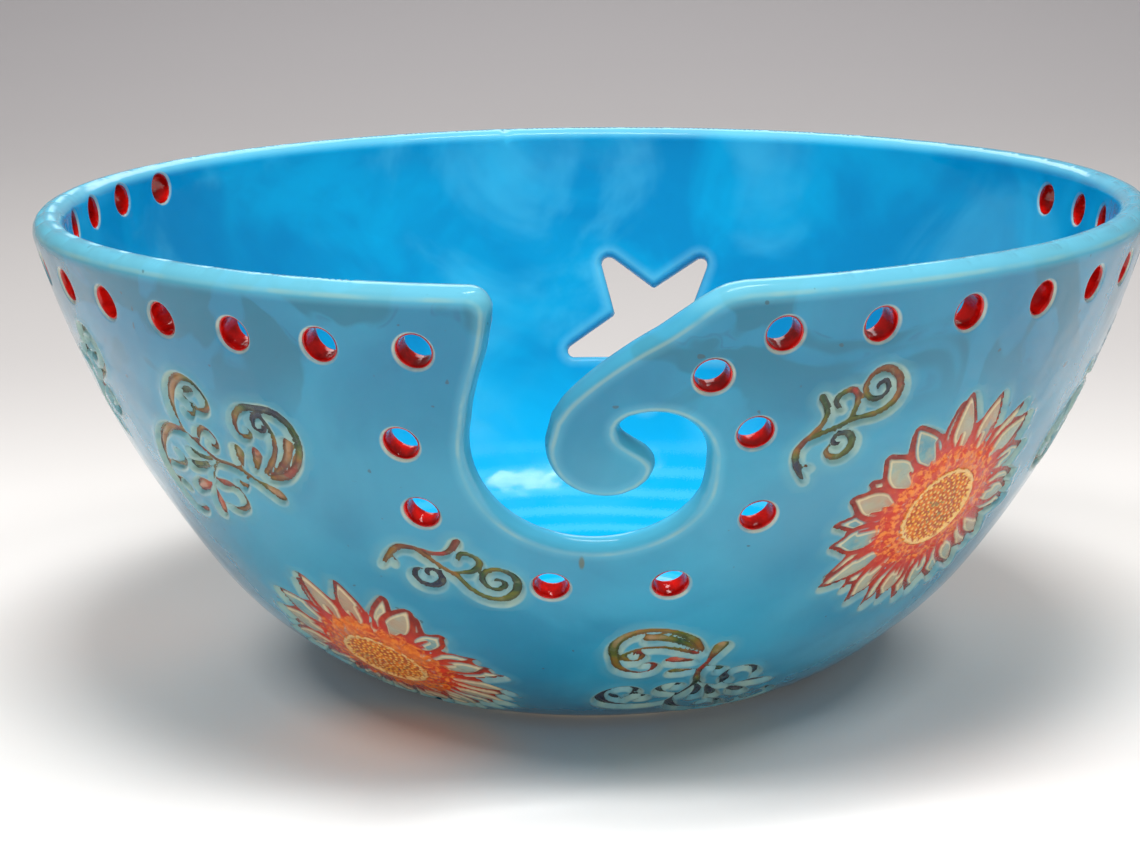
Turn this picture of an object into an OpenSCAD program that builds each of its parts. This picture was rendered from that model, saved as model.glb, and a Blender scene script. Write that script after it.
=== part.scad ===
// Hand-built ceramic yarn bowl.
// A leaning, rounded wall stands on a low foot ring. At the front (-Y) a swirl notch runs
// down from the rim and curls into a hook that holds the yarn. A row of glazed holes follows
// the rim, more holes follow the swirl, a star is cut through the back wall, and stamped
// motifs are filled with coloured glaze.
// Frame: origin on the table under the middle of the foot, +Z up, notch towards -Y.

/* [Bowl] */
// Outer radius at the rim
rim_radius = 105; // [95:1:115]
// Height from the table to the top of the rim
bowl_height = 91; // [86:1:96]
// Thickness of the clay wall below its thicker rim
wall_t = 4; // [3.5:0.5:5]
// Thickness of the rounded rim
rim_t = 6; // [5:0.5:7]
// Thickness of the floor
floor_t = 6; // [5:0.5:8]
// Lean of the wall at the rim, from vertical
rim_lean = 15; // [13:1:17]
// Lean where the upper wall meets the lower curve
belly_lean = 36; // [33:1:39]
// Radius of the long upper curve
upper_curve = 189; // [180:1:200]
// Radius of the lower curve
lower_curve = 70; // [65:1:74]

/* [Foot] */
// Outer radius of the foot ring
foot_radius = 41; // [36:1:43]
// Width of the foot ring
foot_width = 8; // [5:1:10]
// Height of the foot ring
foot_height = 2; // [1.5:0.5:3]

/* [Holes] */
// Diameter of each hole in the clay
hole_d = 6; // [5:0.1:6.5]
// Thickness of the red glaze that lines each hole
lining_t = 0.3; // [0.2:0.05:0.5]
// Height of the row of holes under the rim
row_height = 80; // [78:0.5:82]
// Number of holes in the left row
left_count = 12; // [8:1:12]
// Angle between holes in the left row
left_step = 9.1; // [8.5:0.1:9.5]
// Number of holes in the right row
right_count = 11; // [8:1:11]
// Angle between holes in the right row
right_step = 9.3; // [8.5:0.1:9.8]

/* [Yarn swirl] */
// Radius of the outer sweep of the swirl
sweep_r = 20.9; // [20:0.1:21.5]
// Radius of the hook inside the swirl
hook_r = 10.2; // [9.8:0.1:10.5]
// Radius of the pocket behind the hook's tip
pocket_r = 9.4; // [9:0.1:9.8]
// Radius of the rounded corners at the rim
mouth_corner_r = 4; // [3:0.5:5]

/* [Star] */
// Radius of the star's points
star_r = 19.8; // [18:0.1:20.5]
// Radius of the star's inner corners
star_inner_r = 9; // [8:0.5:10]
// Radius of each rounded point
star_tip_r = 1.5; // [1:0.5:2]

/* [Stamped motifs] */
// Depth of each stamped pocket
stamp_depth = 0.9; // [0.7:0.1:1.2]
// Thickness of the coloured glaze that lies in it
inlay_t = 0.6; // [0.4:0.1:0.6]
// Radius of a sunflower, to its petal tips
flower_r = 24; // [20:1:25]
// Radius of a sunflower's seed disc
disc_r = 8.5; // [7:0.5:10]
// Number of petals round a sunflower
petals = 22; // [16:1:26]
// Width of a stamped stroke
stroke_w = 1.6; // [1.2:0.1:2]

/* [Hidden] */
$fn = 48;

// --- wall curve -----------------------------------------------------------------------
// Two arcs that meet smoothly: a long one under the rim and a tighter one above the foot.
lip_centre = [rim_radius - rim_t / 2, bowl_height - rim_t / 2];
upper_centre = lip_centre - (upper_curve - rim_t / 2) * [cos(rim_lean), -sin(rim_lean)];
belly_point = [
    upper_centre[0] + upper_curve * cos(belly_lean),
    upper_centre[1] - upper_curve * sin(belly_lean)
];
lower_centre = [
    belly_point[0] - lower_curve * cos(belly_lean),
    belly_point[1] + lower_curve * sin(belly_lean)
];
upper_bands = 14;
lower_bands = 6;
lip_bands = 12;
// Distance down the wall over which most of the rim's extra thickness fades
rim_fade = 10;
clear = 1;

// Lean of the wall from vertical at height z
function wall_lean(z) =
    z > belly_point[1]
        ? asin((upper_centre[1] - z) / upper_curve)
        : asin((lower_centre[1] - z) / lower_curve);

// Outer radius of the wall at height z
function wall_radius(z) =
    z > belly_point[1]
        ? upper_centre[0] + upper_curve * cos(wall_lean(z))
        : lower_centre[0] + lower_curve * cos(wall_lean(z));

// Points of a curve set "inset" inside the outer wall, from lean "top" down to height "low".
// The inset grows by "extra" at the rim.
function wall_points(inset, top, low, extra = 0) =
    let (foot_lean = asin((lower_centre[1] - low) / (lower_curve - inset)))
    concat(
        [for (i = [0 : upper_bands])
            let (
                a = top + (belly_lean - top) * pow(i / upper_bands, 1.5),
                down = (a - top) / 360 * 2 * PI * upper_curve
            )
            upper_centre
                + (upper_curve - inset - extra * exp(-down / rim_fade)) * [cos(a), -sin(a)]],
        [for (i = [1 : lower_bands])
            let (a = belly_lean + (foot_lean - belly_lean) * i / lower_bands)
            lower_centre + (lower_curve - inset) * [cos(a), -sin(a)]]
    );

// Points of the rounded lip, from its inner side over the top to its outer side
function lip_points() = [
    for (i = [1 : lip_bands - 1])
        let (a = 180 - rim_lean - 180 * i / lip_bands)
        lip_centre + rim_t / 2 * [cos(a), sin(a)]
];

// Everything inside a curve set "inset" below the outer surface
module wall_core(inset) {
    low = foot_height + inset;
    edge = wall_points(inset, rim_lean - 3, low);
    rotate_extrude($fn = 96)
        polygon(concat(edge, [[0, low], [0, edge[0][1]]]));
}

// The bare wall and floor, before anything is cut or stamped
module wall_shell() {
    outer = wall_points(0, rim_lean, foot_height);
    inner = wall_points(wall_t, rim_lean, foot_height + floor_t, rim_t - wall_t);
    inner_up = [for (i = [len(inner) - 1 : -1 : 0]) inner[i]];
    rotate_extrude($fn = 96)
        polygon(concat(
            outer,
            [[0, foot_height], [0, foot_height + floor_t]],
            inner_up,
            lip_points()
        ));
}

// --- places on the wall ---------------------------------------------------------------
// Children are drawn flat: x runs round the bowl, y runs up the wall, z points out of it.
module on_wall(angle, z) {
    rotate([0, 0, angle])
        translate([0, -wall_radius(z), z])
            rotate([90 + wall_lean(z), 0, 0])
                children();
}

left_start = -16.1;
right_start = 17;
// How far round the rows drift from even spacing at their middles, in degrees
left_drift = 2.2;
right_drift = 2.6;
// How much higher the left row ends, and the whole right row runs
left_rise = 5;
right_rise = 2;

// The rows were cut by eye: each drifts a little from even spacing, and the left one climbs
left_row = [
    for (i = [0 : left_count - 1])
        let (turn = 180 * i / (left_count - 1))
        [left_start - i * left_step - left_drift * pow(sin(turn), 2),
         row_height + left_rise * (1 - cos(turn)) / 2]
];
right_row = [
    for (i = [0 : right_count - 1])
        let (turn = 180 * i / (right_count - 1))
        [right_start + i * right_step + right_drift * pow(sin(turn), 2), row_height + right_rise]
];
// Angle and height of each hole round the swirl
swirl_row = [
    [-19, 63],
    [-18.5, 50],
    [-5.3, 36],
    [8.7, 36],
    [17.4, 48.7],
    [15.5, 64.6],
    [10.7, 75.5]
];

pin_length = 4 * rim_t;

// A straight pin through the wall at each place
module wall_pins(places, d) {
    for (p = places)
        on_wall(p[0], p[1])
            cylinder(h = pin_length, d = d, center = true);
}

// The glaze inside each hole, flush with both faces of the wall
module hole_linings(places) {
    for (p = places)
        intersection() {
            wall_shell();
            on_wall(p[0], p[1])
                difference() {
                    cylinder(h = pin_length, d = hole_d, center = true);
                    cylinder(h = pin_length + clear, d = hole_d - 2 * lining_t, center = true);
                }
        }
}

// --- yarn swirl -----------------------------------------------------------------------
notch_height = 66.8;
notch_rim = 25.3;
cut_reach = 16;
sweep_centre = [0.1, -4.4];
hook_centre = [2, -4.4];
pocket_centre = [9.3, -7.2];
mouth_top = 30;
mouth_left = -16.3;

// Points on an arc from angle "from" to angle "to"
function arc(centre, r, from, to, steps) = [
    for (i = [0 : steps])
        let (a = from + (to - from) * i / steps)
        centre + r * [cos(a), sin(a)]
];

// One closed outline: down the left side, round the sweep and pocket, back round the hook
function swirl_outline() = concat(
    [[mouth_left - mouth_corner_r, mouth_top]],
    [[mouth_left - mouth_corner_r, notch_rim]],
    arc([mouth_left - mouth_corner_r, notch_rim - mouth_corner_r], mouth_corner_r, 75, 0, 3),
    [[-17.2, 14], [-19, 8]],
    arc(sweep_centre, sweep_r, 168, 325, 20),
    arc(pocket_centre, pocket_r, -20, 115, 10),
    [[4, 0], [4.4, -1.6], [6.2, -3.4], [8.4, -5.2]],
    arc([6.3, -8], 3.5, 30, -50, 3),
    arc(hook_centre, hook_r, 285, 135, 14),
    [[2.5, 11.8], [11, 17.6], [15.5, 21.5]],
    [[20, notch_rim], [20, mouth_top]]
);

module swirl_cut() {
    on_wall(0, notch_height)
        translate([0, 0, -cut_reach])
            linear_extrude(height = 2 * cut_reach)
                polygon(swirl_outline());
}

// --- star -----------------------------------------------------------------------------
star_angle = 171.2;
star_height = 46.6;
star_points = 5;

// One point down, with each point blunted by a short rounded end
function star_outline() = [
    for (i = [0 : star_points - 1])
        let (a = -90 + 360 * i / star_points, tip = star_r - star_tip_r)
        for (p = [
            [tip * cos(a) + star_tip_r * cos(a - 60), tip * sin(a) + star_tip_r * sin(a - 60)],
            [star_r * cos(a), star_r * sin(a)],
            [tip * cos(a) + star_tip_r * cos(a + 60), tip * sin(a) + star_tip_r * sin(a + 60)],
            [star_inner_r * cos(a + 36), star_inner_r * sin(a + 36)]
        ]) p
];

module star_cut() {
    on_wall(star_angle, star_height)
        translate([0, 0, -cut_reach])
            linear_extrude(height = 2 * cut_reach)
                polygon(star_outline());
}

// --- stamped motifs -------------------------------------------------------------------
valley_r = flower_r * 0.76;
shoulder_r = flower_r * 0.92;

// A ring of pointed petals as one toothed outline
function flower_outline() = [
    for (i = [0 : petals - 1])
        let (a = 360 * i / petals, half = 180 / petals)
        for (p = [
            [valley_r * cos(a - half), valley_r * sin(a - half)],
            [shoulder_r * cos(a - half / 2), shoulder_r * sin(a - half / 2)],
            [flower_r * cos(a), flower_r * sin(a)],
            [shoulder_r * cos(a + half / 2), shoulder_r * sin(a + half / 2)]
        ]) p
];

module flower_shape() {
    polygon(flower_outline());
}

module disc_shape() {
    circle(r = disc_r);
}

// A stroke bent along part of a circle
module stroke_arc(centre, r, from, to, w = stroke_w) {
    steps = 8;
    polygon(concat(
        arc(centre, r + w / 2, from, to, steps),
        arc(centre, r - w / 2, to, from, steps)
    ));
}

// Small spray: a bent stem that forks, a large curl, a short curl and a loose curl below
module spray_shape() {
    stroke_arc([-7, -1.6], 6.4, 165, 45);
    stroke_arc([-0.6, 6.6], 3.3, 215, 325);
    stroke_arc([-6.2, -4.4], 8.2, 72, 35);
    stroke_arc([6.6, -2], 4.6, 160, 430, 1.8);
    stroke_arc([3, 2.2], 2.4, 290, 530);
    stroke_arc([-4.6, -1.6], 2.3, 100, 360, 1.8);
}

// A rounded leaf or bud of the flourish, as a twelve-sided outline
module leaf(place, r) {
    translate(place)
        circle(r = r, $fn = 12);
}

// Large flourish: two pairs of facing scrolls, with rounded leaves and a bud on a short stem
module scroll_shape() {
    for (side = [0, 1])
        mirror([side, 0, 0]) {
            stroke_arc([11, -3], 6.4, 85, -205, 1.8);
            stroke_arc([7, -15.5], 4.8, -130, 170, 1.8);
            leaf([6.8, -3], 1.4);
            leaf([3.7, -6.2], 1.7);
        }
    polygon([[-1, 5], [1, 5], [1, -12], [-1, -12]]);
    leaf([0, 4.7], 1.7);
}

// A flat shape stood on the wall at an angle and height, turned in place, and made a deep block
module place_motif(angle, z, turn) {
    on_wall(angle, z)
        rotate([0, 0, turn])
            translate([0, 0, -cut_reach / 2])
                linear_extrude(height = cut_reach)
                    children();
}

// Glaze left in the bottom of a stamped pocket
module inlay() {
    intersection() {
        difference() {
            wall_core(stamp_depth - inlay_t);
            wall_core(stamp_depth);
        }
        children();
    }
}

// Angle, height and turn of each motif
flower_front_right = [42.5, 44.4, 0];
flower_front_left = [-35.5, 14.4, 8];
flower_back_right = [118, 45, 5];
flower_back_left = [-98, 40, 12];
scroll_places = [
    [-40, 52.5, -125],
    [16.7, 18.7, -24],
    [72, 60, 60],
    [-148, 48, 17]
];
spray_places = [
    [25.1, 64.8, 65],
    [-17, 38.1, 0],
    [-66, 64, 80],
    [95, 62, 30],
    [-124, 62, -20]
];
flower_places = [flower_front_right, flower_front_left, flower_back_right, flower_back_left];

module all_stamps() {
    for (p = flower_places)
        place_motif(p[0], p[1], p[2])
            flower_shape();
    for (p = scroll_places)
        place_motif(p[0], p[1], p[2])
            scroll_shape();
    for (p = spray_places)
        place_motif(p[0], p[1], p[2])
            spray_shape();
}

module flower_petals(p) {
    inlay()
        place_motif(p[0], p[1], p[2])
            difference() {
                flower_shape();
                disc_shape();
            }
}

module flower_disc(p) {
    inlay()
        place_motif(p[0], p[1], p[2])
            disc_shape();
}

module scroll(i) {
    inlay()
        place_motif(scroll_places[i][0], scroll_places[i][1], scroll_places[i][2])
            scroll_shape();
}

module spray(i) {
    inlay()
        place_motif(spray_places[i][0], spray_places[i][1], spray_places[i][2])
            spray_shape();
}

// --- sub-parts ------------------------------------------------------------------------
module bowl_body() {
    color("steelblue")
        difference() {
            wall_shell();
            wall_pins(left_row, hole_d);
            wall_pins(right_row, hole_d);
            wall_pins(swirl_row, hole_d);
            swirl_cut();
            star_cut();
            difference() {
                all_stamps();
                wall_core(stamp_depth);
            }
        }
}

module foot_ring() {
    color("peru")
        difference() {
            cylinder(h = foot_height, r = foot_radius, $fn = 96);
            translate([0, 0, -clear])
                cylinder(h = foot_height + 2 * clear, r = foot_radius - foot_width, $fn = 96);
        }
}

module rim_hole_linings_left() {
    color("firebrick")
        hole_linings(left_row);
}

module rim_hole_linings_right() {
    color("firebrick")
        hole_linings(right_row);
}

module swirl_hole_linings() {
    color("firebrick")
        hole_linings(swirl_row);
}

module petals_piece(p) {
    color("sienna")
        flower_petals(p);
}

module disc_piece(p) {
    color("goldenrod")
        flower_disc(p);
}

module scroll_piece(i) {
    color("olivedrab")
        scroll(i);
}

module spray_piece(i) {
    color("darkslategray")
        spray(i);
}

bowl_body();
foot_ring();
rim_hole_linings_left();
rim_hole_linings_right();
swirl_hole_linings();
petals_piece(flower_front_right);  // sunflower_petals_front_right
disc_piece(flower_front_right);  // sunflower_disc_front_right
petals_piece(flower_front_left);  // sunflower_petals_front_left
disc_piece(flower_front_left);  // sunflower_disc_front_left
petals_piece(flower_back_right);  // sunflower_petals_back_right
disc_piece(flower_back_right);  // sunflower_disc_back_right
petals_piece(flower_back_left);  // sunflower_petals_back_left
disc_piece(flower_back_left);  // sunflower_disc_back_left
scroll_piece(0);  // scroll_front_left
scroll_piece(1);  // scroll_front_bottom
scroll_piece(2);  // scroll_right
scroll_piece(3);  // scroll_back
spray_piece(0);  // spray_front_right
spray_piece(1);  // spray_front_left
spray_piece(2);  // spray_left
spray_piece(3);  // spray_back_right
spray_piece(4);  // spray_back_left
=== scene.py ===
"""A hand-built ceramic yarn bowl: its glazed wall, linings, foot and stamped motifs.

Shapes are worked out in millimetres on the unrolled wall and turned into metres at the end.
"""

import math

import bmesh
import bpy
import numpy as np
from mathutils import Matrix, Vector
from mathutils.geometry import delaunay_2d_cdt


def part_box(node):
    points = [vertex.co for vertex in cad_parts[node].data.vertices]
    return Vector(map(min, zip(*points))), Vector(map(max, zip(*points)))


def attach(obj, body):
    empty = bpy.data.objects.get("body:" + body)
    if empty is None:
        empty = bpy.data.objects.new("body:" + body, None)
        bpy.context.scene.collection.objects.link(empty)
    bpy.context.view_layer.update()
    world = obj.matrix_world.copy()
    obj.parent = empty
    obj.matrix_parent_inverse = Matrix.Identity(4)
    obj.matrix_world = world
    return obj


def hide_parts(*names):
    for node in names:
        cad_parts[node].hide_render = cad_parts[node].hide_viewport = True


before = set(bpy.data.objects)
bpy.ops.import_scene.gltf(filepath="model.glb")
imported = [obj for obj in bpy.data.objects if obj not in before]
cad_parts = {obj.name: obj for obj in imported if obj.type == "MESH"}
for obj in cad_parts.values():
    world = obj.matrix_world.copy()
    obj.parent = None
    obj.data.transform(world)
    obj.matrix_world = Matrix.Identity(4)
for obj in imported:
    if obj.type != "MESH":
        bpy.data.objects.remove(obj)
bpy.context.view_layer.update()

MM = 0.001

# --- the wall curve, from the CAD body's box ------------------------------------------
body_low, body_high = (np.array(corner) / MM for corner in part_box("bowl_body"))
RIM_R = body_high[0]
RIM_Z = body_high[2]
BASE_Z = body_low[2]
RIM_T = 6.0
WALL_T = 4.0
RIM_FADE = 10.0
HALF = RIM_T / 2
STAMP_REACH = 1.6
FLOOR_T = 6.0
FLOOR_Z = BASE_Z + FLOOR_T
UPPER_CURVE = 189.0
LOWER_CURVE = 70.0
RIM_LEAN = math.radians(15)
BELLY_LEAN = math.radians(36)


def toward(lean):
    """Unit vector (r, z) that points straight out of the wall where it leans by lean."""
    return np.stack([np.cos(lean), -np.sin(lean)], -1)


LIP_CENTRE = np.array([RIM_R - HALF, RIM_Z - HALF])
UPPER_CENTRE = LIP_CENTRE - (UPPER_CURVE - HALF) * toward(RIM_LEAN)
LOWER_CENTRE = UPPER_CENTRE + (UPPER_CURVE - LOWER_CURVE) * toward(BELLY_LEAN)
BELLY_DOWN = UPPER_CURVE * (BELLY_LEAN - RIM_LEAN)
FOOT_LEAN = math.asin((LOWER_CENTRE[1] - BASE_Z) / LOWER_CURVE)
FOOT_DOWN = BELLY_DOWN + LOWER_CURVE * (FOOT_LEAN - BELLY_LEAN)
RIM_DOWN = -HALF * UPPER_CURVE / (UPPER_CURVE - HALF)


def lean_at(down):
    """Lean of the wall at a distance down its outer face from the lip."""
    upper = RIM_LEAN + down / UPPER_CURVE
    lower = BELLY_LEAN + (down - BELLY_DOWN) / LOWER_CURVE
    return np.where(down < BELLY_DOWN, upper, lower)


def wall_point(down, out):
    """(r, z) at a distance down the wall, out millimetres outside its middle surface."""
    lean = lean_at(down)
    upper = UPPER_CENTRE + (UPPER_CURVE - HALF + out)[..., None] * toward(lean)
    lower = LOWER_CENTRE + (LOWER_CURVE - HALF + out)[..., None] * toward(lean)
    return np.where((down < BELLY_DOWN)[..., None], upper, lower)


def thinned(out, down):
    """The same place in the wall once it is thinner below the rim; stamps keep their depth."""
    deep = HALF - out
    thick = WALL_T + (RIM_T - WALL_T) * np.exp(-np.maximum(down, 0) / RIM_FADE)
    squeezed = STAMP_REACH + (deep - STAMP_REACH) * (thick - STAMP_REACH) / (RIM_T - STAMP_REACH)
    return HALF - np.where(deep < STAMP_REACH, deep, squeezed)


def outer_radius(down):
    down = np.asarray(down, float)
    return wall_point(down, np.full(down.shape, HALF))[..., 0]


def down_at(z):
    """Distance down the outer face to height z."""
    steps = np.linspace(0, FOOT_DOWN, 2000)
    heights = wall_point(steps, np.full(steps.shape, HALF))[:, 1]
    return float(np.interp(-z, -heights, steps))


# --- the unrolled wall ----------------------------------------------------------------
# Sheet coordinates are (angle x MAP_R, -distance down), so both are close to millimetres.
MAP_R = 90.0
SEAM = math.radians(-169)


class Place:
    """A spot on the wall with flat coordinates round it: x round the bowl, y up the wall."""

    def __init__(self, angle, z, turn=0.0):
        self.angle = math.radians(angle)
        self.down = down_at(z)
        self.turn = math.radians(turn)

    def to_sheet(self, flat):
        c, s = math.cos(self.turn), math.sin(self.turn)
        flat = np.asarray(flat, float)
        x = flat[..., 0] * c - flat[..., 1] * s
        y = flat[..., 0] * s + flat[..., 1] * c
        down = self.down - y
        return np.stack([(self.angle + x / outer_radius(down)) * MAP_R, -down], -1)

    def to_flat(self, sheet):
        x = (sheet[..., 0] / MAP_R - self.angle) * outer_radius(-sheet[..., 1])
        y = sheet[..., 1] + self.down
        c, s = math.cos(self.turn), math.sin(self.turn)
        return np.stack([x * c + y * s, y * c - x * s], -1)


# --- outlines -------------------------------------------------------------------------
def arc(centre, radius, start, end, step=0.7):
    count = max(3, int(abs(math.radians(end - start)) * radius / step) + 1)
    angles = np.radians(np.linspace(start, end, count))
    return np.array(centre) + radius * np.stack([np.cos(angles), np.sin(angles)], -1)


def circle(radius, steps):
    """Points round a circle, whose radius is one number or one for each point."""
    turn = np.linspace(0, math.tau, steps, endpoint=False)
    return np.asarray(radius)[..., None] * np.stack([np.cos(turn), np.sin(turn)], -1)


def curve(points, step=0.7):
    """A smooth curve through a few points."""
    p = np.array(points, float)
    p = np.vstack([2 * p[0] - p[1], p, 2 * p[-1] - p[-2]])
    pieces = []
    for i in range(1, len(p) - 2):
        count = max(2, int(np.linalg.norm(p[i + 1] - p[i]) / step) + 1)
        t = np.linspace(0, 1, count, endpoint=False)[:, None]
        a, b, c, d = p[i - 1], p[i], p[i + 1], p[i + 2]
        pieces.append(
            0.5 * (2 * b + (c - a) * t + (2 * a - 5 * b + 4 * c - d) * t**2
                   + (3 * b - a - 3 * c + d) * t**3)
        )
    pieces.append(p[-2][None])
    return np.vstack(pieces)


def resample(points, step, closed=False):
    if closed:
        points = np.vstack([points, points[:1]])
    lengths = np.r_[0, np.cumsum(np.linalg.norm(np.diff(points, axis=0), axis=1))]
    count = max(2, int(round(lengths[-1] / step)) + 1)
    at = np.linspace(0, lengths[-1], count)
    out = np.stack([np.interp(at, lengths, points[:, k]) for k in (0, 1)], -1)
    return out[:-1] if closed else out


def nearest(points, samples, widths=None, chunk=4000):
    """Distance from each point to the nearest sample, less that sample's half width."""
    half = np.zeros(len(samples)) if widths is None else np.asarray(widths) / 2
    best = np.empty(len(points))
    index = np.empty(len(points), int)
    for i in range(0, len(points), chunk):
        gap = np.linalg.norm(points[i:i + chunk, None] - samples[None], axis=-1) - half
        index[i:i + chunk] = gap.argmin(1)
        best[i:i + chunk] = gap.min(1)
    return best, index


def inside(points, outline):
    """True for each point that lies inside a closed outline."""
    x, y = points[:, 0, None], points[:, 1, None]
    a, b = outline, np.roll(outline, -1, axis=0)
    crosses = (a[:, 1] > y) != (b[:, 1] > y)
    run = np.where(b[:, 1] == a[:, 1], 1e-9, b[:, 1] - a[:, 1])
    reach = a[:, 0] + (y - a[:, 1]) * (b[:, 0] - a[:, 0]) / run
    return (crosses & (x < reach)).sum(1) % 2 == 1


def smooth(t):
    t = np.clip(t, 0, 1)
    return t * t * (3 - 2 * t)


# --- the cut-outs ---------------------------------------------------------------------
NOTCH = Place(0, 66.8)
RIM_Y = NOTCH.down - RIM_DOWN
NOTCH_REACH = 40.0
NOTCH_NEAR = NOTCH_REACH - 3
NOTCH_LOW = -36.0


def notch_outline():
    """Down the left side, round the sweep and the pocket, then back round the hook."""
    corner = 4.0
    return resample(np.vstack([
        [[-NOTCH_REACH, RIM_Y]],
        arc((-20.2, RIM_Y - corner), corner, 90, 5),
        curve([(-16.4, 18.5), (-17.3, 13.6), (-18.8, 8.3), (-19.9, 3.6)]),
        arc((0.1, -4.4), 20.9, 168, 312),
        curve([(16.2, -17.6), (17.8, -14.6), (18.5, -11.0)]),
        arc((9.3, -7.2), 9.4, 0, 104),
        curve([(5.5, 1.5), (4.2, 0.1), (4.4, -1.8), (6.2, -3.5), (8.3, -5.1)]),
        arc((6.5, -8.4), 3.5, 42, -15),
        curve([(9.0, -11.3), (7.2, -13.0)]),
        arc((2.0, -4.4), 10.2, -75, -188),
        curve([(-7.0, 1.6), (-4.9, 5.0), (-1.7, 8.4), (2.2, 11.7), (6.6, 14.8), (11.0, 17.4),
               (14.8, 20.0), (18.0, 22.2), (21.5, RIM_Y - 0.6), (25.0, RIM_Y)]),
        [[NOTCH_REACH, RIM_Y]],
    ]), 0.8)


STAR = Place(171.2, 46.6)
STAR_NEAR = 30.0


def star_outline():
    """Five blunt points, one of them down."""
    tip_r, tip_round, inner_r = 19.8, 1.6, 9.0
    corners = []
    for i in range(5):
        a = -90 + 72 * i
        outward = math.radians(a)
        middle = (tip_r - tip_round) * np.array([math.cos(outward), math.sin(outward)])
        corners.append(arc(middle, tip_round, a - 62, a + 62, 0.5))
        inner = math.radians(a + 36)
        corners.append(inner_r * np.array([[math.cos(inner), math.sin(inner)]]))
    return resample(np.vstack(corners), 0.8, closed=True)


HOLE_R = 3.1
HOLE_EDGE = 0.8
ROW_Z = 80.0
LEFT_TURNS = np.linspace(0, math.pi, 12)
RIGHT_TURNS = np.linspace(0, math.pi, 11)
LEFT_HOLES = [(-16.1 - 9.1 * i - 2.2 * math.sin(t) ** 2, ROW_Z + 2.5 * (1 - math.cos(t)))
              for i, t in enumerate(LEFT_TURNS)]
RIGHT_HOLES = [(17.0 + 9.3 * i + 2.6 * math.sin(t) ** 2, ROW_Z + 2.0)
               for i, t in enumerate(RIGHT_TURNS)]
SWIRL_HOLES = [(-19, 63), (-18.5, 50), (-5.3, 36), (8.7, 36), (17.4, 48.7), (15.5, 64.6), (10.7, 75.5)]
HOLES = [Place(*h) for h in LEFT_HOLES + RIGHT_HOLES + SWIRL_HOLES]


# --- the stamps -----------------------------------------------------------------------
STROKE_STEP = 0.22


class Stroke:
    """A stamped line: its middle, its width along it, and where its colour sits from 0 to 1."""

    def __init__(self, points, width, tint, blunt=0.35):
        self.points = resample(np.asarray(points, float), STROKE_STEP)
        t = np.linspace(0, 1, len(self.points))
        wide = np.interp(t, np.linspace(0, 1, len(width)), width)
        ends = np.minimum(t, 1 - t) * len(t) * STROKE_STEP / (np.max(width) * 0.5 + 0.2)
        self.width = wide * np.sqrt(np.clip(ends + blunt, 0, 1))
        self.tint = np.interp(t, np.linspace(0, 1, len(tint)), tint)


def spray_strokes(mood):
    """Small sprig: a bent stem that forks, a large curl, a short curl and a loose curl.

    Mood 0 is rust and green, mood 1 is slate and brown.
    """
    stem = curve([(-12.4, 0.5), (-10.2, 3.6), (-8.3, 5.1), (-6.8, 5.3), (-4.5, 4.8), (-1.8, 4.2),
                  (0.2, 4.6), (1.5, 5.8), (2.8, 7.8)])
    fork = curve([(-5.2, 4.6), (-2.9, 2.7), (-1.2, 1.0), (0.6, -0.4), (1.7, -1.9), (2.9, -3.8),
                  (4.8, -5.5), (6.8, -6.2), (8.8, -5.9), (10.5, -4.4), (11.3, -2.1), (10.8, -0.1),
                  (9.4, 1.0), (7.5, 1.1), (5.9, 0.1), (5.3, -1.5), (5.9, -3.0), (7.5, -3.7), (8.9, -3.0),
                  (9.1, -1.9), (8.2, -1.2), (7.4, -1.5)])
    curl = curve([(0.5, -0.1), (2.5, 0.1), (4.4, 0.7), (5.5, 2.0), (5.5, 3.3), (4.4, 4.4), (3.0, 4.7),
                  (2.1, 3.9), (1.9, 2.9)])
    loose = curve([(-5.0, 0.5), (-6.3, 0.0), (-6.8, -1.4), (-6.0, -3.0), (-4.1, -3.7), (-2.4, -3.0),
                   (-1.8, -1.3), (-2.5, 0.1), (-3.6, 0.4), (-4.4, -0.2), (-4.3, -1.0), (-3.5, -1.3)])
    return [
        Stroke(stem, (1.0, 1.5, 1.7, 1.6, 1.3, 1.4, 1.7),
               [(0.3, 0.22, 0.05, 0.08, 0.12, 0.04), (0.9, 0.75, 0.16, 0.2, 0.7, 0.6)][mood]),
        Stroke(fork, (1.2, 1.5, 1.4, 1.7, 1.9, 1.8, 1.5, 1.4, 1.4, 1.2),
               [(0.1, 0.3, 0.42, 0.5, 0.6, 0.48, 0.6, 0.62),
                (0.3, 0.55, 0.5, 0.2, 0.08, 0.12, 0.7, 0.75)][mood]),
        Stroke(curl, (1.2, 1.5, 1.5, 1.5, 1.1), [(0.5, 0.5, 0.62), (0.55, 0.12, 0.85)][mood]),
        Stroke(loose, (1.0, 1.5, 1.9, 1.7, 1.2, 1.1), [(0.95, 1.0), (0.3, 0.9)][mood]),
        Stroke([(-10.1, 2.6), (-9.7, 1.8), (-9.8, 1.0)], (0.7, 0.9, 0.6), (0.22, 0.05)),
    ]


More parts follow.
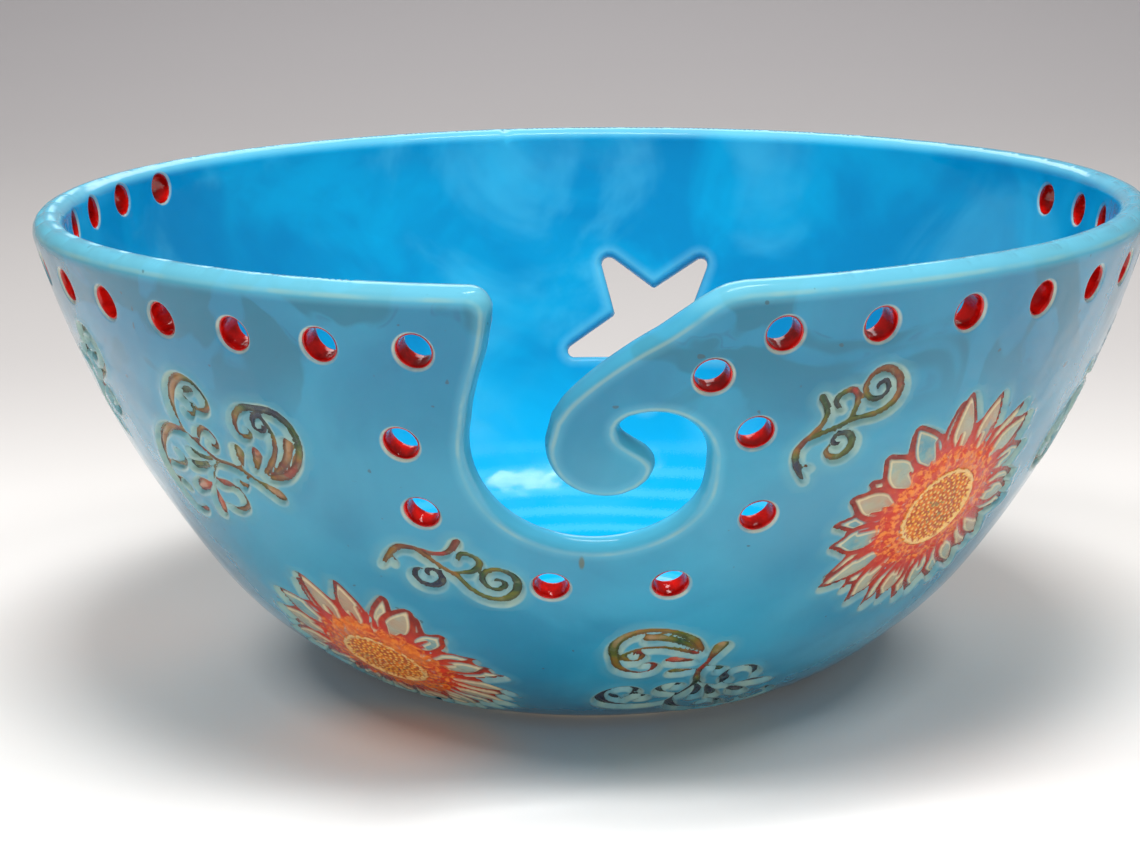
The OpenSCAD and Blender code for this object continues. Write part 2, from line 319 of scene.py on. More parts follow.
def scroll_strokes(mood):
    """Large flourish: a plumed wing and two lobes left of a bud, then scrolls and leaves below.

    Mood 0 is tan, green and rust, mood 1 is olive and red that runs to navy.
    """

    def line(points, width, tan, navy, blunt=0.35):
        return Stroke(curve(points) if len(points) > 2 else points, width, (tan, navy)[mood], blunt)

    return [
        line([(-0.75, 6.4), (-0.6, 4.4), (-0.3, 2.0)], (3.1, 2.4, 1.4), (0.25, 0.3), (0.34, 0.3), 1.0),
        line([(-3.2, 3.9), (-6.3, 6.6), (-9.5, 7.7), (-12.5, 7.9), (-16, 7.0), (-18.4, 5.0), (-19.3, 2.4),
              (-18.7, 0), (-17.3, -2), (-15.6, -4.2), (-13.2, -5.3), (-10.6, -5.1), (-9.1, -3.8),
              (-9.3, -2.1), (-10.7, -1.5), (-11.7, -2.3)],
             (1.5, 1.9, 1.7, 1.7, 2.1, 2.3, 1.9, 1.7, 1.6, 1.4, 1.2),
             (0.3, 0.14, 0.2, 0.6, 0.66, 0.85, 0.7, 0.3, 0.15, 0.5),
             (0.3, 0.44, 0.4, 0.34, 0.4, 0.3, 0.14, 0.1)),
        line([(-4.8, 4.4), (-8, 5.5), (-11.5, 5.9), (-14.8, 5.2)], (1.0, 1.7, 2.1, 2.4),
             (0.2, 0.22, 0.3, 0.26), (0.42, 0.46, 0.4), 0.8),
        line([(-3.4, 2.9), (-6.5, 3.4), (-10, 3.6), (-13, 2.9), (-14.9, 1.6), (-16.2, -0.5), (-15.6, -1.8),
              (-14.2, -2.0), (-13, -1.2), (-13, 0.2), (-14.1, 0.7), (-14.6, -0.1)],
             (1.3, 1.5, 1.4, 1.4, 1.5, 1.5, 1.3, 1.1), (0.25, 0.2, 0.3, 0.75, 0.95, 1.0),
             (0.04, 0.34, 0.4, 0.34, 0.2, 0.1)),
        line([(-3.4, 1.0), (-5.6, 0.6), (-7.4, 0.4)], (1.3, 2.2, 2.6), (0.3, 0.2, 0.0), (0.0, 0.0), 1.0),
        line([(-1.6, -2.0), (-3.4, -2.7), (-4.9, -3.1)], (1.2, 2.2, 2.6), (0.36, 0.4), (0.1, 0.46), 1.0),
        line([(-0.3, 2.0), (-0.2, -1.2), (0.6, -4.0), (2.1, -6.6), (2.3, -10), (2.2, -12.5), (2.0, -14.8)],
             (1.4, 1.8, 1.4, 1.5, 1.7, 1.7, 1.5), (0.3, 0.35, 0.25, 0.2, 0.1, 0.15),
             (0.05, 0.0, 0.12, 0.6, 0.85, 0.9)),
        line([(-0.2, -1.4), (1.2, -0.3), (2.6, 0.1)], (0.9, 0.9, 0.8), (0.3, 0.3), (0.3, 0.6)),
        line([(3.4, -0.8), (3.5, -1.2)], (2.1, 2.1), (0.2, 0.2), (0.6, 0.6), 1.0),
        line([(7.7, -7.2), (7.6, -5.4), (6.1, -3.7), (5.8, -1.6), (7.0, 0.0), (9.0, 0.5), (11.0, -0.4),
              (12.1, -1.9), (12.4, -3.3)], (1.7, 2.1, 1.5, 1.4, 1.4, 1.3, 1.1), (0.0, 0.0, 0.15, 0.22, 0.26),
             (0.85, 0.95, 0.8)),
        line([(2.3, -6.8), (4.5, -7.5), (7.5, -7.7), (10.4, -7.2)], (0.9, 0.9, 0.8), (0.4, 0.4), (0.7, 0.85)),
        line([(10.8, -6.8), (13.4, -5.8), (16.4, -4.9)], (1.0, 2.9, 2.3), (0.1, 0.0, 0.08), (0.9, 0.95), 0.7),
        line([(10.6, -8.4), (12.9, -9.9), (14.8, -11.0)], (1.2, 3.1, 2.6), (0.05, 0.0), (0.9, 0.95), 0.8),
        line([(3.3, -8.3), (4.8, -10.4), (5.6, -13.2)], (0.9, 1.9, 2.1), (0.46, 0.55), (0.8, 0.9), 0.7),
        line([(5.3, -8.5), (7.6, -10.6), (9.4, -12.8)], (0.9, 2.0, 2.3), (0.46, 0.6), (0.8, 0.9), 0.7),
        line([(1.4, -11.9), (-1.4, -12.1), (-3.2, -11.0), (-3.6, -9.3), (-2.6, -7.9), (-1.0, -7.6),
              (-0.4, -8.6), (-1.3, -9.1)], (1.0, 1.4, 1.4, 1.3, 1.3, 1.1), (0.2, 0.2, 0.3), (0.85, 0.9)),
        line([(1.9, -15), (0.9, -16.7), (-1.2, -18.5), (-4, -19.6), (-7.5, -19.7), (-10.3, -18.5),
              (-11.7, -16.3), (-11.8, -13.9), (-10.7, -11.8), (-8.9, -11.0), (-7.2, -11.8), (-6.7, -13.1),
              (-7.7, -13.9)], (1.3, 1.8, 2.2, 2.5, 2.3, 1.8, 1.6, 1.5, 1.4, 1.1),
             (0.15, 0.22, 0.26, 0.2, 0.5, 0.62, 0.3, 0.14), (0.9, 1.0, 0.9, 0.8)),
        line([(-10.3, -14.8), (-9.1, -16.2), (-7.9, -17.0)], (1.1, 1.8, 1.3), (0.55, 0.6), (0.85, 0.9), 0.7),
        line([(-6.6, -17.4), (-6.8, -15.3), (-5.7, -13.9), (-4.2, -13.9), (-3.7, -15.1), (-4.5, -15.7)],
             (0.9, 1.2, 1.3, 1.2, 1.0), (0.4, 0.46, 0.15), (0.7, 0.9)),
        line([(2.1, -15), (3, -17.1), (5, -19.4), (8.5, -21.1), (13, -21.5), (17, -20.3), (20, -17.8),
              (22.1, -14.6), (22.7, -12), (21.7, -10), (19.6, -9)],
             (1.3, 1.8, 2.3, 2.4, 2.2, 2.2, 2.0, 1.8, 1.6, 1.2), (0.2, 0.26, 0.2, 0.06, 0.1, 0.04),
             (0.9, 0.95, 1.0)),
        line([(15.6, -19.2), (14.2, -17.4), (12.8, -15.7), (11.1, -14.9), (9.6, -15.3), (9.2, -16.5)],
             (1.0, 1.4, 1.3, 1.3, 1.9), (0.3, 0.45, 0.62), (0.9, 0.9)),
        line([(18.9, -17.3), (17.8, -15.4), (17.8, -13.4)], (1.0, 1.6, 1.6), (0.4, 0.34), (0.9, 0.9)),
    ]


PETALS = 15
FLOWER_R = 24.8
DISC_R = 8.5
RING_R = 13.8
FLOWER_DEPTH = 1.1
STROKE_DEPTH = 1.2
GLAZE_BOTTOM = 1.25
SEED_BOTTOM = 1.15
PETAL_SPACING = 0.5
FINE_SPACING = 0.3


def petal_outline(angle, tip_r, half_width, base_r, lean):
    """One pointed petal, from its base on one side, round its tip, to its base on the other."""
    side = [(base_r, 0.50), (base_r + 2.5, 0.86), (16.2, 1.0), (19.0, 0.76), (tip_r - 1.6, 0.30)]
    shape = [(r, -w) for r, w in side] + [(tip_r, 0.0)] + [(r, w) for r, w in side[::-1]]
    points = []
    for r, w in shape:
        a = math.radians(angle + w * half_width + lean * (r - base_r))
        points.append((r * math.cos(a), r * math.sin(a)))
    return curve(points, 0.3)


class Flower:
    """A sunflower stamp: front petals, the tips of back petals between them, and veins."""

    def __init__(self, seed):
        rng = np.random.default_rng(seed)
        step = 360 / PETALS
        self.front = []
        self.back = []
        for i in range(PETALS):
            broad = 9.3 + 1.6 * math.cos(math.radians(step * i - 140))
            self.front.append(petal_outline(step * i + rng.uniform(-3.5, 3.5), rng.uniform(21.8, FLOWER_R),
                                            broad + rng.uniform(-1, 1), 11.6, rng.uniform(-0.5, 0.5)))
            self.back.append(petal_outline(step * (i + 0.5) + rng.uniform(-3, 3), rng.uniform(20.6, 24.2),
                                           rng.uniform(5.5, 8), 13.0, rng.uniform(-0.5, 0.5)))
        lines = []
        widths = []

        def ink(points, width):
            if len(points):
                lines.append(points)
                widths.append(np.broadcast_to(width, len(points)))

        for i, outline in enumerate(self.front):
            shown = np.ones(len(outline), bool)
            if i:
                shown &= ~inside(outline, self.front[i - 1])
            radius = np.linalg.norm(outline, axis=1)
            ink(outline[shown], np.interp(radius, [11, 16, 23], [1.25, 0.95, 0.75])[shown])
        for outline in self.back:
            shown = np.ones(len(outline), bool)
            for other in self.front:
                shown &= ~inside(outline, other)
            ink(outline[shown], rng.uniform(0.65, 0.9))
        for i in range(PETALS):
            for side in rng.choice([-0.30, -0.12, 0.10, 0.28], 2, replace=False):
                a = math.radians(step * (i + side * 0.8))
                r = np.arange(11.2, 11.2 + rng.uniform(2.5, 7.0), 0.3)
                bend = a + math.radians(rng.uniform(-1.5, 1.5)) * (r - 11.2) / 2
                ink(np.stack([r * np.cos(bend), r * np.sin(bend)], -1), np.linspace(1.0, 0.3, len(r)))
        self.lines = np.vstack(lines)
        self.widths = np.concatenate(widths)
        self.tones = rng.uniform(0, 1, 2 * PETALS)

    def stroke_distance(self, flat):
        return nearest(flat, self.lines, self.widths)[0]

    def outline_distance(self, flat):
        """Negative inside the whole flower, positive outside it."""
        edge = nearest(flat, self.lines)[0]
        within = np.linalg.norm(flat, axis=1) < RING_R
        for outline in self.front + self.back:
            within |= inside(flat, outline)
        return np.where(within, -edge, edge) - 0.45

    def petal_tone(self, flat):
        tone = np.full(len(flat), 0.5)
        for outline, value in zip(self.back + self.front, self.tones):
            tone[inside(flat, outline)] = value
        return tone


FLOWERS = {
    "front_right": Place(42.5, 44.4, 0),
    "front_left": Place(-35.5, 14.4, 8),
    "back_right": Place(118, 45, 5),
    "back_left": Place(-98, 40, 12),
}
SCROLLS = {
    "front_left": Place(-40, 52.5, -125),
    "front_bottom": Place(16.2, 16.9, -19),
    "right": Place(72, 60, 60),
    "back": Place(-148, 48, 17),
}
NAVY_SCROLLS = ("front_bottom", "right")
SPRAYS = {
    "front_right": Place(25.1, 64.8, 65),
    "front_left": Place(-17, 38.1, 0),
    "left": Place(-66, 64, 80),
    "back_right": Place(95, 62, 30),
    "back_left": Place(-124, 62, -20),
}
SLATE_SPRAYS = ("front_right", "back_left")


class Field:
    """Values worked out once on a fine flat grid, then read between its points."""

    STEP = 0.2

    def __init__(self, low, high, function):
        self.low = np.floor(np.array(low) / self.STEP) * self.STEP
        count = np.ceil((np.array(high) - self.low) / self.STEP).astype(int) + 2
        x, y = np.meshgrid(np.arange(count[0]), np.arange(count[1]), indexing="ij")
        grid = np.stack([x, y], -1).reshape(-1, 2) * self.STEP + self.low
        self.values = function(grid).reshape(count[0], count[1], -1)

    def __call__(self, flat):
        at = (flat - self.low) / self.STEP
        limit = np.array(self.values.shape[:2]) - 1.001
        at = np.clip(at, 0, limit)
        i = at.astype(int)
        f = at - i
        fx, fy = f[:, :1], f[:, 1:]
        v = self.values
        near = v[i[:, 0], i[:, 1]] * (1 - fy) + v[i[:, 0], i[:, 1] + 1] * fy
        far = v[i[:, 0] + 1, i[:, 1]] * (1 - fy) + v[i[:, 0] + 1, i[:, 1] + 1] * fy
        return near * (1 - fx) + far * fx


class LineStamp:
    """A stamp made of strokes: reads (distance outside the strokes, colour place, half width)."""

    def __init__(self, strokes):
        samples = np.vstack([s.points for s in strokes])
        widths = np.concatenate([s.width for s in strokes])
        tints = np.concatenate([s.tint for s in strokes])
        self.low = samples.min(0) - 3
        self.high = samples.max(0) + 3

        def read(grid):
            edge, index = nearest(grid, samples, widths)
            return np.stack([edge, tints[index], widths[index] / 2], -1)

        self.field = Field(self.low, self.high, read)

    def edge(self, flat):
        return self.field(flat)[:, 0]

    def groove(self, edge):
        """How far the stamped clay lies under the wall's surface, with a low raised border."""
        border = 0.20 * np.exp(-(((edge - 0.65) / 0.42) ** 2))
        return STROKE_DEPTH * smooth((0.22 - edge) / 0.72) - border


class FlowerStamp:
    """The sunflower stamp: reads (outside distance, distance outside its lines, petal tone)."""

    def __init__(self, flower):
        self.high = np.full(2, FLOWER_R + 2.2)
        self.low = -self.high
        self.field = Field(self.low, self.high, lambda grid: np.stack([
            flower.outline_distance(grid), flower.stroke_distance(grid), flower.petal_tone(grid)], -1))

    def edge(self, flat):
        return self.field(flat)[:, 0]

    def groove(self, edge):
        border = 0.16 * np.exp(-(((edge - 0.9) / 0.45) ** 2))
        return FLOWER_DEPTH * smooth(0.5 - edge) - border


FLOWER_STAMP = FlowerStamp(Flower(3))
SCROLL_STAMPS = [LineStamp(scroll_strokes(mood)) for mood in (0, 1)]
SPRAY_STAMPS = [LineStamp(spray_strokes(mood)) for mood in (0, 1)]
STAMPED = [(place, FLOWER_STAMP) for place in FLOWERS.values()]
STAMPED += [(place, SCROLL_STAMPS[0]) for place in SCROLLS.values()]
STAMPED += [(place, SPRAY_STAMPS[0]) for place in SPRAYS.values()]


# --- distances on the unrolled wall ---------------------------------------------------
# Anything farther from an edge than this is plain wall.
FAR = 12.0


def segment_distance(points, line, closed=False, chunk=3000):
    """Exact distance from each point to a line of short segments."""
    a = line
    b = np.roll(line, -1, axis=0)
    if not closed:
        a, b = a[:-1], b[:-1]
    run = b - a
    length2 = (run**2).sum(1)
    best = np.empty(len(points))
    for i in range(0, len(points), chunk):
        gap = points[i:i + chunk, None] - a
        t = np.clip((gap * run).sum(-1) / length2, 0, 1)
        best[i:i + chunk] = np.sqrt(((gap - t[..., None] * run) ** 2).sum(-1)).min(1)
    return best


NOTCH_LINE = notch_outline()
NOTCH_OPEN = np.vstack([NOTCH_LINE, [[NOTCH_REACH, RIM_Y + 20], [-NOTCH_REACH, RIM_Y + 20]]])
STAR_LINE = star_outline()


def notch_distance(flat):
    """Distance into the clay from the rim line with its notch."""
    d = segment_distance(flat, NOTCH_LINE)
    return np.where(inside(flat, NOTCH_OPEN), -d, d)


def star_distance(flat):
    d = segment_distance(flat, STAR_LINE, closed=True)
    return np.where(inside(flat, STAR_LINE), -d, d)


def cut_distance(sheet):
    """Distance into the clay from the rim, the notch or the star, whichever is nearest."""
    best = -sheet[:, 1] - RIM_DOWN
    flat = NOTCH.to_flat(sheet)
    near = (np.abs(flat[:, 0]) < NOTCH_NEAR) & (flat[:, 1] > NOTCH_LOW)
    best[near] = notch_distance(flat[near])
    flat = STAR.to_flat(sheet)
    near = (np.abs(flat) < STAR_NEAR).all(1)
    best[near] = np.minimum(best[near], star_distance(flat[near]))
    return best


def hole_distance(sheet):
    """Distance outside the nearest small hole."""
    best = np.full(len(sheet), FAR)
    for hole in HOLES:
        best = np.minimum(best, np.linalg.norm(hole.to_flat(sheet), axis=1) - HOLE_R)
    return best


def stamp_distance(sheet):
    """Distance outside the nearest stamp, and how deep the clay is pressed there."""
    best = np.full(len(sheet), FAR)
    depth = np.zeros(len(sheet))
    for place, stamp in STAMPED:
        flat = place.to_flat(sheet)
        near = ((flat > stamp.low) & (flat < stamp.high)).all(1)
        edge = stamp.edge(flat[near])
        depth[near] += stamp.groove(edge) * smooth((2.9 - edge) / 1.2)
        best[near] = np.minimum(best[near], edge)
    return best, depth


# --- turning the sheet into a wall ----------------------------------------------------
def wobble(angle, down):
    """Small unevenness of a hand-built wall, in millimetres, never outward."""
    a = 0.22 * np.sin(3 * angle + 0.6) + 0.16 * np.sin(5 * angle + 2.1 + down / 30)
    b = 0.10 * np.sin(9 * angle + down / 13) + 0.07 * np.sin(down / 9 + 2 * angle)
    return np.clip(a + b - 0.6, -1.3, 0)


def floor_height(r, z):
    """Inner surface height: the wall's curve eased into the floor, with throwing rings."""
    ease = 2.5
    gap = z - FLOOR_Z
    eased = FLOOR_Z + 0.5 * (gap + np.sqrt(gap**2 + ease**2))
    z = z + (eased - z) * smooth((28 - z) / 12)
    rings = 0.30 * np.sin(r / 2.0 + 0.6 * np.sin(r / 9)) * smooth((60 - r) / 14) * smooth(r / 6)
    return z + rings


FOOT_FADE = 20.0
SAG_REACH = 30.0


def to_space(sheet, out, inner=False):
    """Sheet points lifted out from the middle of the wall, as points in metres."""
    angle = sheet[:, 0] / MAP_R
    down = -sheet[:, 1]
    fade = smooth((FOOT_DOWN - down) / FOOT_FADE)
    rz = wall_point(down, thinned(out, down) + wobble(angle, down) * fade)
    r, z = rz[:, 0], rz[:, 1]
    rim_sag = 0.16 + 0.22 * (1 + np.cos(2 * angle + 1.7))
    z = z - rim_sag * smooth((SAG_REACH - down) / SAG_REACH)
    if inner:
        z = floor_height(r, z)
    return np.stack([r * np.sin(angle), -r * np.cos(angle), z], -1) * MM


# --- building meshes ------------------------------------------------------------------
def mesh_object(name, points, faces, values=None, weld=False):
    """A smooth-shaded object from arrays, with one number per vertex for each named value."""
    mesh = bpy.data.meshes.new(name)
    faces = [f for part in faces for f in np.asarray(part).tolist()]
    mesh.from_pydata(np.asarray(points).tolist(), [], faces)
    for label, value in (values or {}).items():
        layer = mesh.attributes.new(label, "FLOAT", "POINT")
        layer.data.foreach_set("value", np.asarray(value, np.float32))
    if weld:
        work = bmesh.new()
        work.from_mesh(mesh)
        bmesh.ops.remove_doubles(work, verts=work.verts, dist=2e-6)
        bmesh.ops.dissolve_degenerate(work, edges=work.edges, dist=1e-7)
        work.to_mesh(mesh)
        work.free()
    mesh.shade_smooth()
    piece = bpy.data.objects.new(name, mesh)
    bpy.context.scene.collection.objects.link(piece)
    return piece


def hex_points(spacing, low, high):
    x, y = np.meshgrid(np.arange(low[0], high[0], spacing),
                       np.arange(low[1], high[1], spacing * math.sqrt(3) / 2))
    x = x + (np.arange(len(x)) % 2)[:, None] * spacing / 2
    return np.stack([x.ravel(), y.ravel()], -1)


def triangles(points, loops=()):
    """Triangulate flat points, keeping the loops' edges. Each loop is (start, count, closed)."""
    edges = []
    for start, count, closed in loops:
        ring = list(range(start, start + count))
        edges += list(zip(ring[:-1], ring[1:]))
        if closed:
            edges.append((ring[-1], ring[0]))
    result = delaunay_2d_cdt([Vector(p) for p in points.tolist()], edges, [], 0, 1e-7, True)
    flat = np.array([tuple(v) for v in result[0]])
    return flat, np.array(result[2]), result[3]


EDGE_ANGLES = np.radians([22, 42, 60, 76, 90])
CUT_INSET = 1.5
HOLE_ANGLES = np.radians([30, 56, 76, 90])
HOLE_STEPS = 40
FOOT_STEPS = 240
SEAM_STEPS = 46
RIM_STEP = 1.1
LEVELS = [2.8, 1.8, 1.2, 0.82, 0.57]


def edge_inset(flat_y):
    """How far in from a cut its rounding reaches: the wall's half at the rim, less in the notch."""
    return HALF + (CUT_INSET - HALF) * smooth((RIM_Y - flat_y - 1.0) / 6.0)


def offset_rings(line, distance, inset, closed=False):
    """Copies of an outline moved into the clay, by the steps of a rounded edge."""
    ahead = np.roll(line, -1, axis=0)
    behind = np.roll(line, 1, axis=0)
    if not closed:
        ahead[-1], behind[0] = line[-1], line[0]
    run = ahead - behind
    normal = np.stack([run[:, 1], -run[:, 0]], -1) / np.linalg.norm(run, axis=1)[:, None]
    if distance(line[:1] + normal[:1] * 0.5)[0] < 0:
        normal = -normal
    rings = []
    for angle in EDGE_ANGLES:
        d = inset * (1 - math.cos(angle))
        ring = line + normal * d[:, None]
        rings.append(ring[distance(ring) > d * 0.97])
    return np.vstack(rings)


def boundary_loops():
    """The outlines that both faces of the wall share: the outer edge, the star and the holes."""
    left, right = SEAM * MAP_R, (SEAM + math.tau) * MAP_R
    notch = NOTCH.to_sheet(NOTCH_LINE)
    rim_step = RIM_STEP * MAP_R / RIM_R
    reach_l, reach_r = notch[0, 0], notch[-1, 0]
    rim_left = np.linspace(left, reach_l, int((reach_l - left) / rim_step))[:-1]
    rim_right = np.linspace(reach_r, right, int((right - reach_r) / rim_step))[1:]
    seam = -np.linspace(RIM_DOWN, FOOT_DOWN, SEAM_STEPS)[1:-1]
    foot = np.linspace(left, right, FOOT_STEPS + 1)
    outer = np.vstack([
        np.stack([rim_left, np.full(len(rim_left), -RIM_DOWN)], -1),
        notch,
        np.stack([rim_right, np.full(len(rim_right), -RIM_DOWN)], -1),
        np.stack([np.full(len(seam), right), seam], -1),
        np.stack([foot[::-1], np.full(len(foot), -FOOT_DOWN)], -1),
        np.stack([np.full(len(seam), left), seam[::-1]], -1),
    ])
    star = STAR.to_sheet(STAR_LINE)
    round_hole = circle(HOLE_R, HOLE_STEPS)
    return [outer, star] + [hole.to_sheet(round_hole) for hole in HOLES]


def edge_rings():
    star_inset = np.full(len(STAR_LINE), CUT_INSET)
    rings = [NOTCH.to_sheet(offset_rings(NOTCH_LINE, notch_distance, edge_inset(NOTCH_LINE[:, 1]))),
             STAR.to_sheet(offset_rings(STAR_LINE, star_distance, star_inset, closed=True))]
    reach = NOTCH_REACH / RIM_R * MAP_R
    left, right = SEAM * MAP_R, (SEAM + math.tau) * MAP_R
    for i, angle in enumerate(EDGE_ANGLES):
        x = np.arange(left + 0.9, right - 0.8, 1.05) + 0.25 * (i % 2)
        x = x[np.abs(x) > reach + 0.4]
        down = RIM_DOWN + HALF * (1 - math.cos(angle))
        rings.append(np.stack([x, np.full(len(x), -down)], -1))
    for hole in HOLES:
        for angle in HOLE_ANGLES:
            r = HOLE_R + HOLE_EDGE * (1 - math.cos(angle))
            rings.append(hole.to_sheet(circle(r, HOLE_STEPS)))
    return np.vstack(rings)


def fill_points(fine):
    """Points between the edges, closer together near edges, holes and stamped lines."""
    low = (SEAM * MAP_R + 1.2, -FOOT_DOWN + 1.0)
    high = ((SEAM + math.tau) * MAP_R - 1.2, -RIM_DOWN - 1)
    kept = []
    levels = LEVELS if fine else LEVELS[:3]
    for i, spacing in enumerate(levels):
        points = hex_points(spacing, low, high)
        hole = hole_distance(points)
        size = np.minimum(LEVELS[0], 0.9 + 0.28 * np.abs(hole))
        if fine:
            edge, _ = stamp_distance(points)
            band = np.where(edge < 0, -edge * 1.4, edge)
            size = np.minimum(size, levels[-1] + 0.6 * np.maximum(0, band - 0.9))
        cut = cut_distance(points)
        size = np.minimum(size, 0.95 + 0.25 * np.maximum(0, cut - HALF))
        size = np.maximum(size, levels[-1])
        upper = levels[i - 1] if i else 1e9
        keep = (size >= spacing) & (size < upper)
        if i == len(levels) - 1:
            keep = size < upper
        keep &= (cut > HALF + 0.45 * spacing) & (hole > HOLE_EDGE + 0.4 * spacing)
        kept.append(points[keep])
    return np.vstack(kept)


def edge_height(sheet, cut):
    """Half thickness of the wall near a rounded edge."""
    flat = NOTCH.to_flat(sheet)
    inset = np.where(np.abs(flat[:, 0]) < NOTCH_NEAR, edge_inset(flat[:, 1]), HALF)
    flat = STAR.to_flat(sheet)
    inset[(np.abs(flat) < STAR_NEAR).all(1)] = CUT_INSET
    inset = np.where(-sheet[:, 1] < RIM_DOWN + HALF, HALF, inset)
    return HALF * np.sqrt(1 - (1 - np.clip(cut / inset, 0, 1)) ** 2)


def hole_height(hole):
    soft = HOLE_EDGE - np.clip(hole, 0, HOLE_EDGE)
    return HALF - HOLE_EDGE + np.sqrt(HOLE_EDGE**2 - soft**2)


def wall_face(loops, rings, fine):
    """One face of the wall: its points, triangles and values."""
    sheet = np.vstack(loops + [rings, fill_points(fine)])
    spans = []
    start = 0
    for loop in loops:
        spans.append((start, len(loop), True))
        start += len(loop)
    flat, faces, origin = triangles(sheet, spans)
    centre = flat[faces].mean(1)
    keep = (cut_distance(centre) > 0) & (hole_distance(centre) > 0)
    faces = faces[keep]
    cut = cut_distance(flat)
    hole = hole_distance(flat)
    first = len(loops[0]) + len(loops[1])
    on_rim = np.zeros(len(flat), bool)
    for i, source in enumerate(origin):
        if source and min(source) < first and flat[i, 1] > -FOOT_DOWN + 1e-6:
            on_rim[i] = abs(cut[i]) < 0.05
    cut[on_rim] = 0
    half = np.minimum(edge_height(flat, cut), hole_height(hole))
    turn = 0.5 * half / HALF
    if not fine:
        return flat, faces[:, ::-1], -half, cut, hole, np.full(len(flat), FAR), 0.5 + turn
    edge, depth = stamp_distance(flat)
    return flat, faces, half - depth, cut, hole, edge, 0.5 - turn


def band(a, b, steps):
    """Quads between two rings of points, numbered from a and from b."""
    index = np.arange(steps)
    ahead = (index + 1) % steps
    return np.stack([a + index, b + index, b + ahead, a + ahead], -1)


def polar_disc(radii, heights, steps, start, up):
    """Rings about the bowl's axis, joined into a disc, closed at its centre."""
    angles = np.linspace(start, start + math.tau, steps, endpoint=False)
    rings = [np.stack([r * np.sin(angles), -r * np.cos(angles), np.full(steps, z)], -1)
             for r, z in zip(radii, heights)]
    points = np.vstack(rings + [[[0, 0, heights[-1]]]]) * MM
    faces = [band(i * steps, (i + 1) * steps, steps) for i in range(len(radii) - 1)]
    rim = (len(radii) - 1) * steps + np.arange(steps)
    fan = np.stack([rim, np.full(steps, len(points) - 1), np.roll(rim, -1)], -1)
    if up:
        faces = [f[:, ::-1] for f in faces]
        fan = fan[:, ::-1]
    return points, faces, fan


def build_bowl():
    loops = boundary_loops()
    rings = edge_rings()
    points, faces, values = [], [], {"cut": [], "hole": [], "stamp": [], "inner": []}
    count = 0

    def add(new_points, new_faces, cut, hole, stamp, inner):
        nonlocal count
        points.append(new_points)
        faces.extend(f + count for f in new_faces)
        for label, value in (("cut", cut), ("hole", hole), ("stamp", stamp), ("inner", inner)):
            values[label].append(np.broadcast_to(value, len(new_points)))
        count += len(new_points)

    for fine in (True, False):
        flat, tri, out, cut, hole, stamp, inner = wall_face(loops, rings, fine)
        add(to_space(flat, out, inner=not fine), [tri], cut, hole, stamp, inner)
    round_hole = circle(HOLE_R, HOLE_STEPS)
    quads = band(0, HOLE_STEPS, HOLE_STEPS)
    side = np.full(HOLE_STEPS, HALF - HOLE_EDGE)
    for hole in HOLES:
        sheet = hole.to_sheet(round_hole)
        tube = np.vstack([to_space(sheet, side), to_space(sheet, -side, inner=True)])
        add(tube, [quads], FAR, 0.0, FAR, 0.5)
    foot_r, foot_z = wall_point(np.array([FOOT_DOWN]), np.array([HALF]))[0]
    radii = np.r_[foot_r, foot_r - np.arange(1, 9) * 1.2, 30, 20, 10, 3]
    disc, quads, fan = polar_disc(radii, np.full(len(radii), foot_z), FOOT_STEPS, SEAM, up=False)
    add(disc, quads + [fan], FAR, FAR, FAR, 0.0)
    in_r = wall_point(np.array([FOOT_DOWN]), np.array([HALF - WALL_T]))[0, 0]
    radii = np.r_[in_r, np.arange(in_r - 1.3, 1.5, -1.4)]
    curve_z = LOWER_CENTRE[1] - np.sqrt((LOWER_CURVE - WALL_T) ** 2
                                        - np.maximum(radii - LOWER_CENTRE[0], 0) ** 2)
    disc, quads, fan = polar_disc(radii, floor_height(radii, curve_z), FOOT_STEPS, SEAM, up=True)
    add(disc, quads + [fan], FAR, FAR, FAR, 1.0)
    values = {label: np.concatenate(parts) for label, parts in values.items()}
    return mesh_object("glazed_bowl", np.vstack(points), faces, values, weld=True)


# --- the coloured glazes laid into the stamps -----------------------------------------
def plate(name, place, spacing, low, high, reach, top, bottom, values):
    """A thin inlay: reach(flat) is negative where it lies, top(flat) and bottom are its depths."""
    flat = hex_points(spacing, low, high)
    flat = flat[reach(flat) < 0]
    flat, faces, _ = triangles(flat)
    sides = np.stack([np.linalg.norm(flat[faces[:, i]] - flat[faces[:, i - 1]], axis=1) for i in range(3)])
    faces = faces[(sides.max(0) < 1.6 * spacing) & (reach(flat[faces].mean(1)) < 0)]
    used = np.unique(faces)
    order = np.full(len(flat), -1)
    order[used] = np.arange(len(used))
    flat, faces = flat[used], order[faces]
    count = len(flat)
    edges = np.vstack([faces[:, [0, 1]], faces[:, [1, 2]], faces[:, [2, 0]]])
    back = {(b, a) for a, b in edges.tolist()}
    rim = np.array([(a, b) for a, b in edges.tolist() if (a, b) not in back])
    sheet = place.to_sheet(flat)
    under = np.full(count, HALF - bottom)
    points = np.vstack([to_space(sheet, HALF - top(flat)), to_space(sheet, under)])
    walls = np.stack([rim[:, 1], rim[:, 0], rim[:, 0] + count, rim[:, 1] + count], -1)
    read = {label: np.tile(value, 2) for label, value in values(flat).items()}
    return mesh_object(name, points, [faces, faces[:, ::-1] + count, walls], read)


def petal_reach(flat):
    """The whole flower but its middle, lapping a little under the seed disc's edge."""
    return np.maximum(FLOWER_STAMP.edge(flat) - 0.3, DISC_R - 0.4 - np.linalg.norm(flat, axis=1))


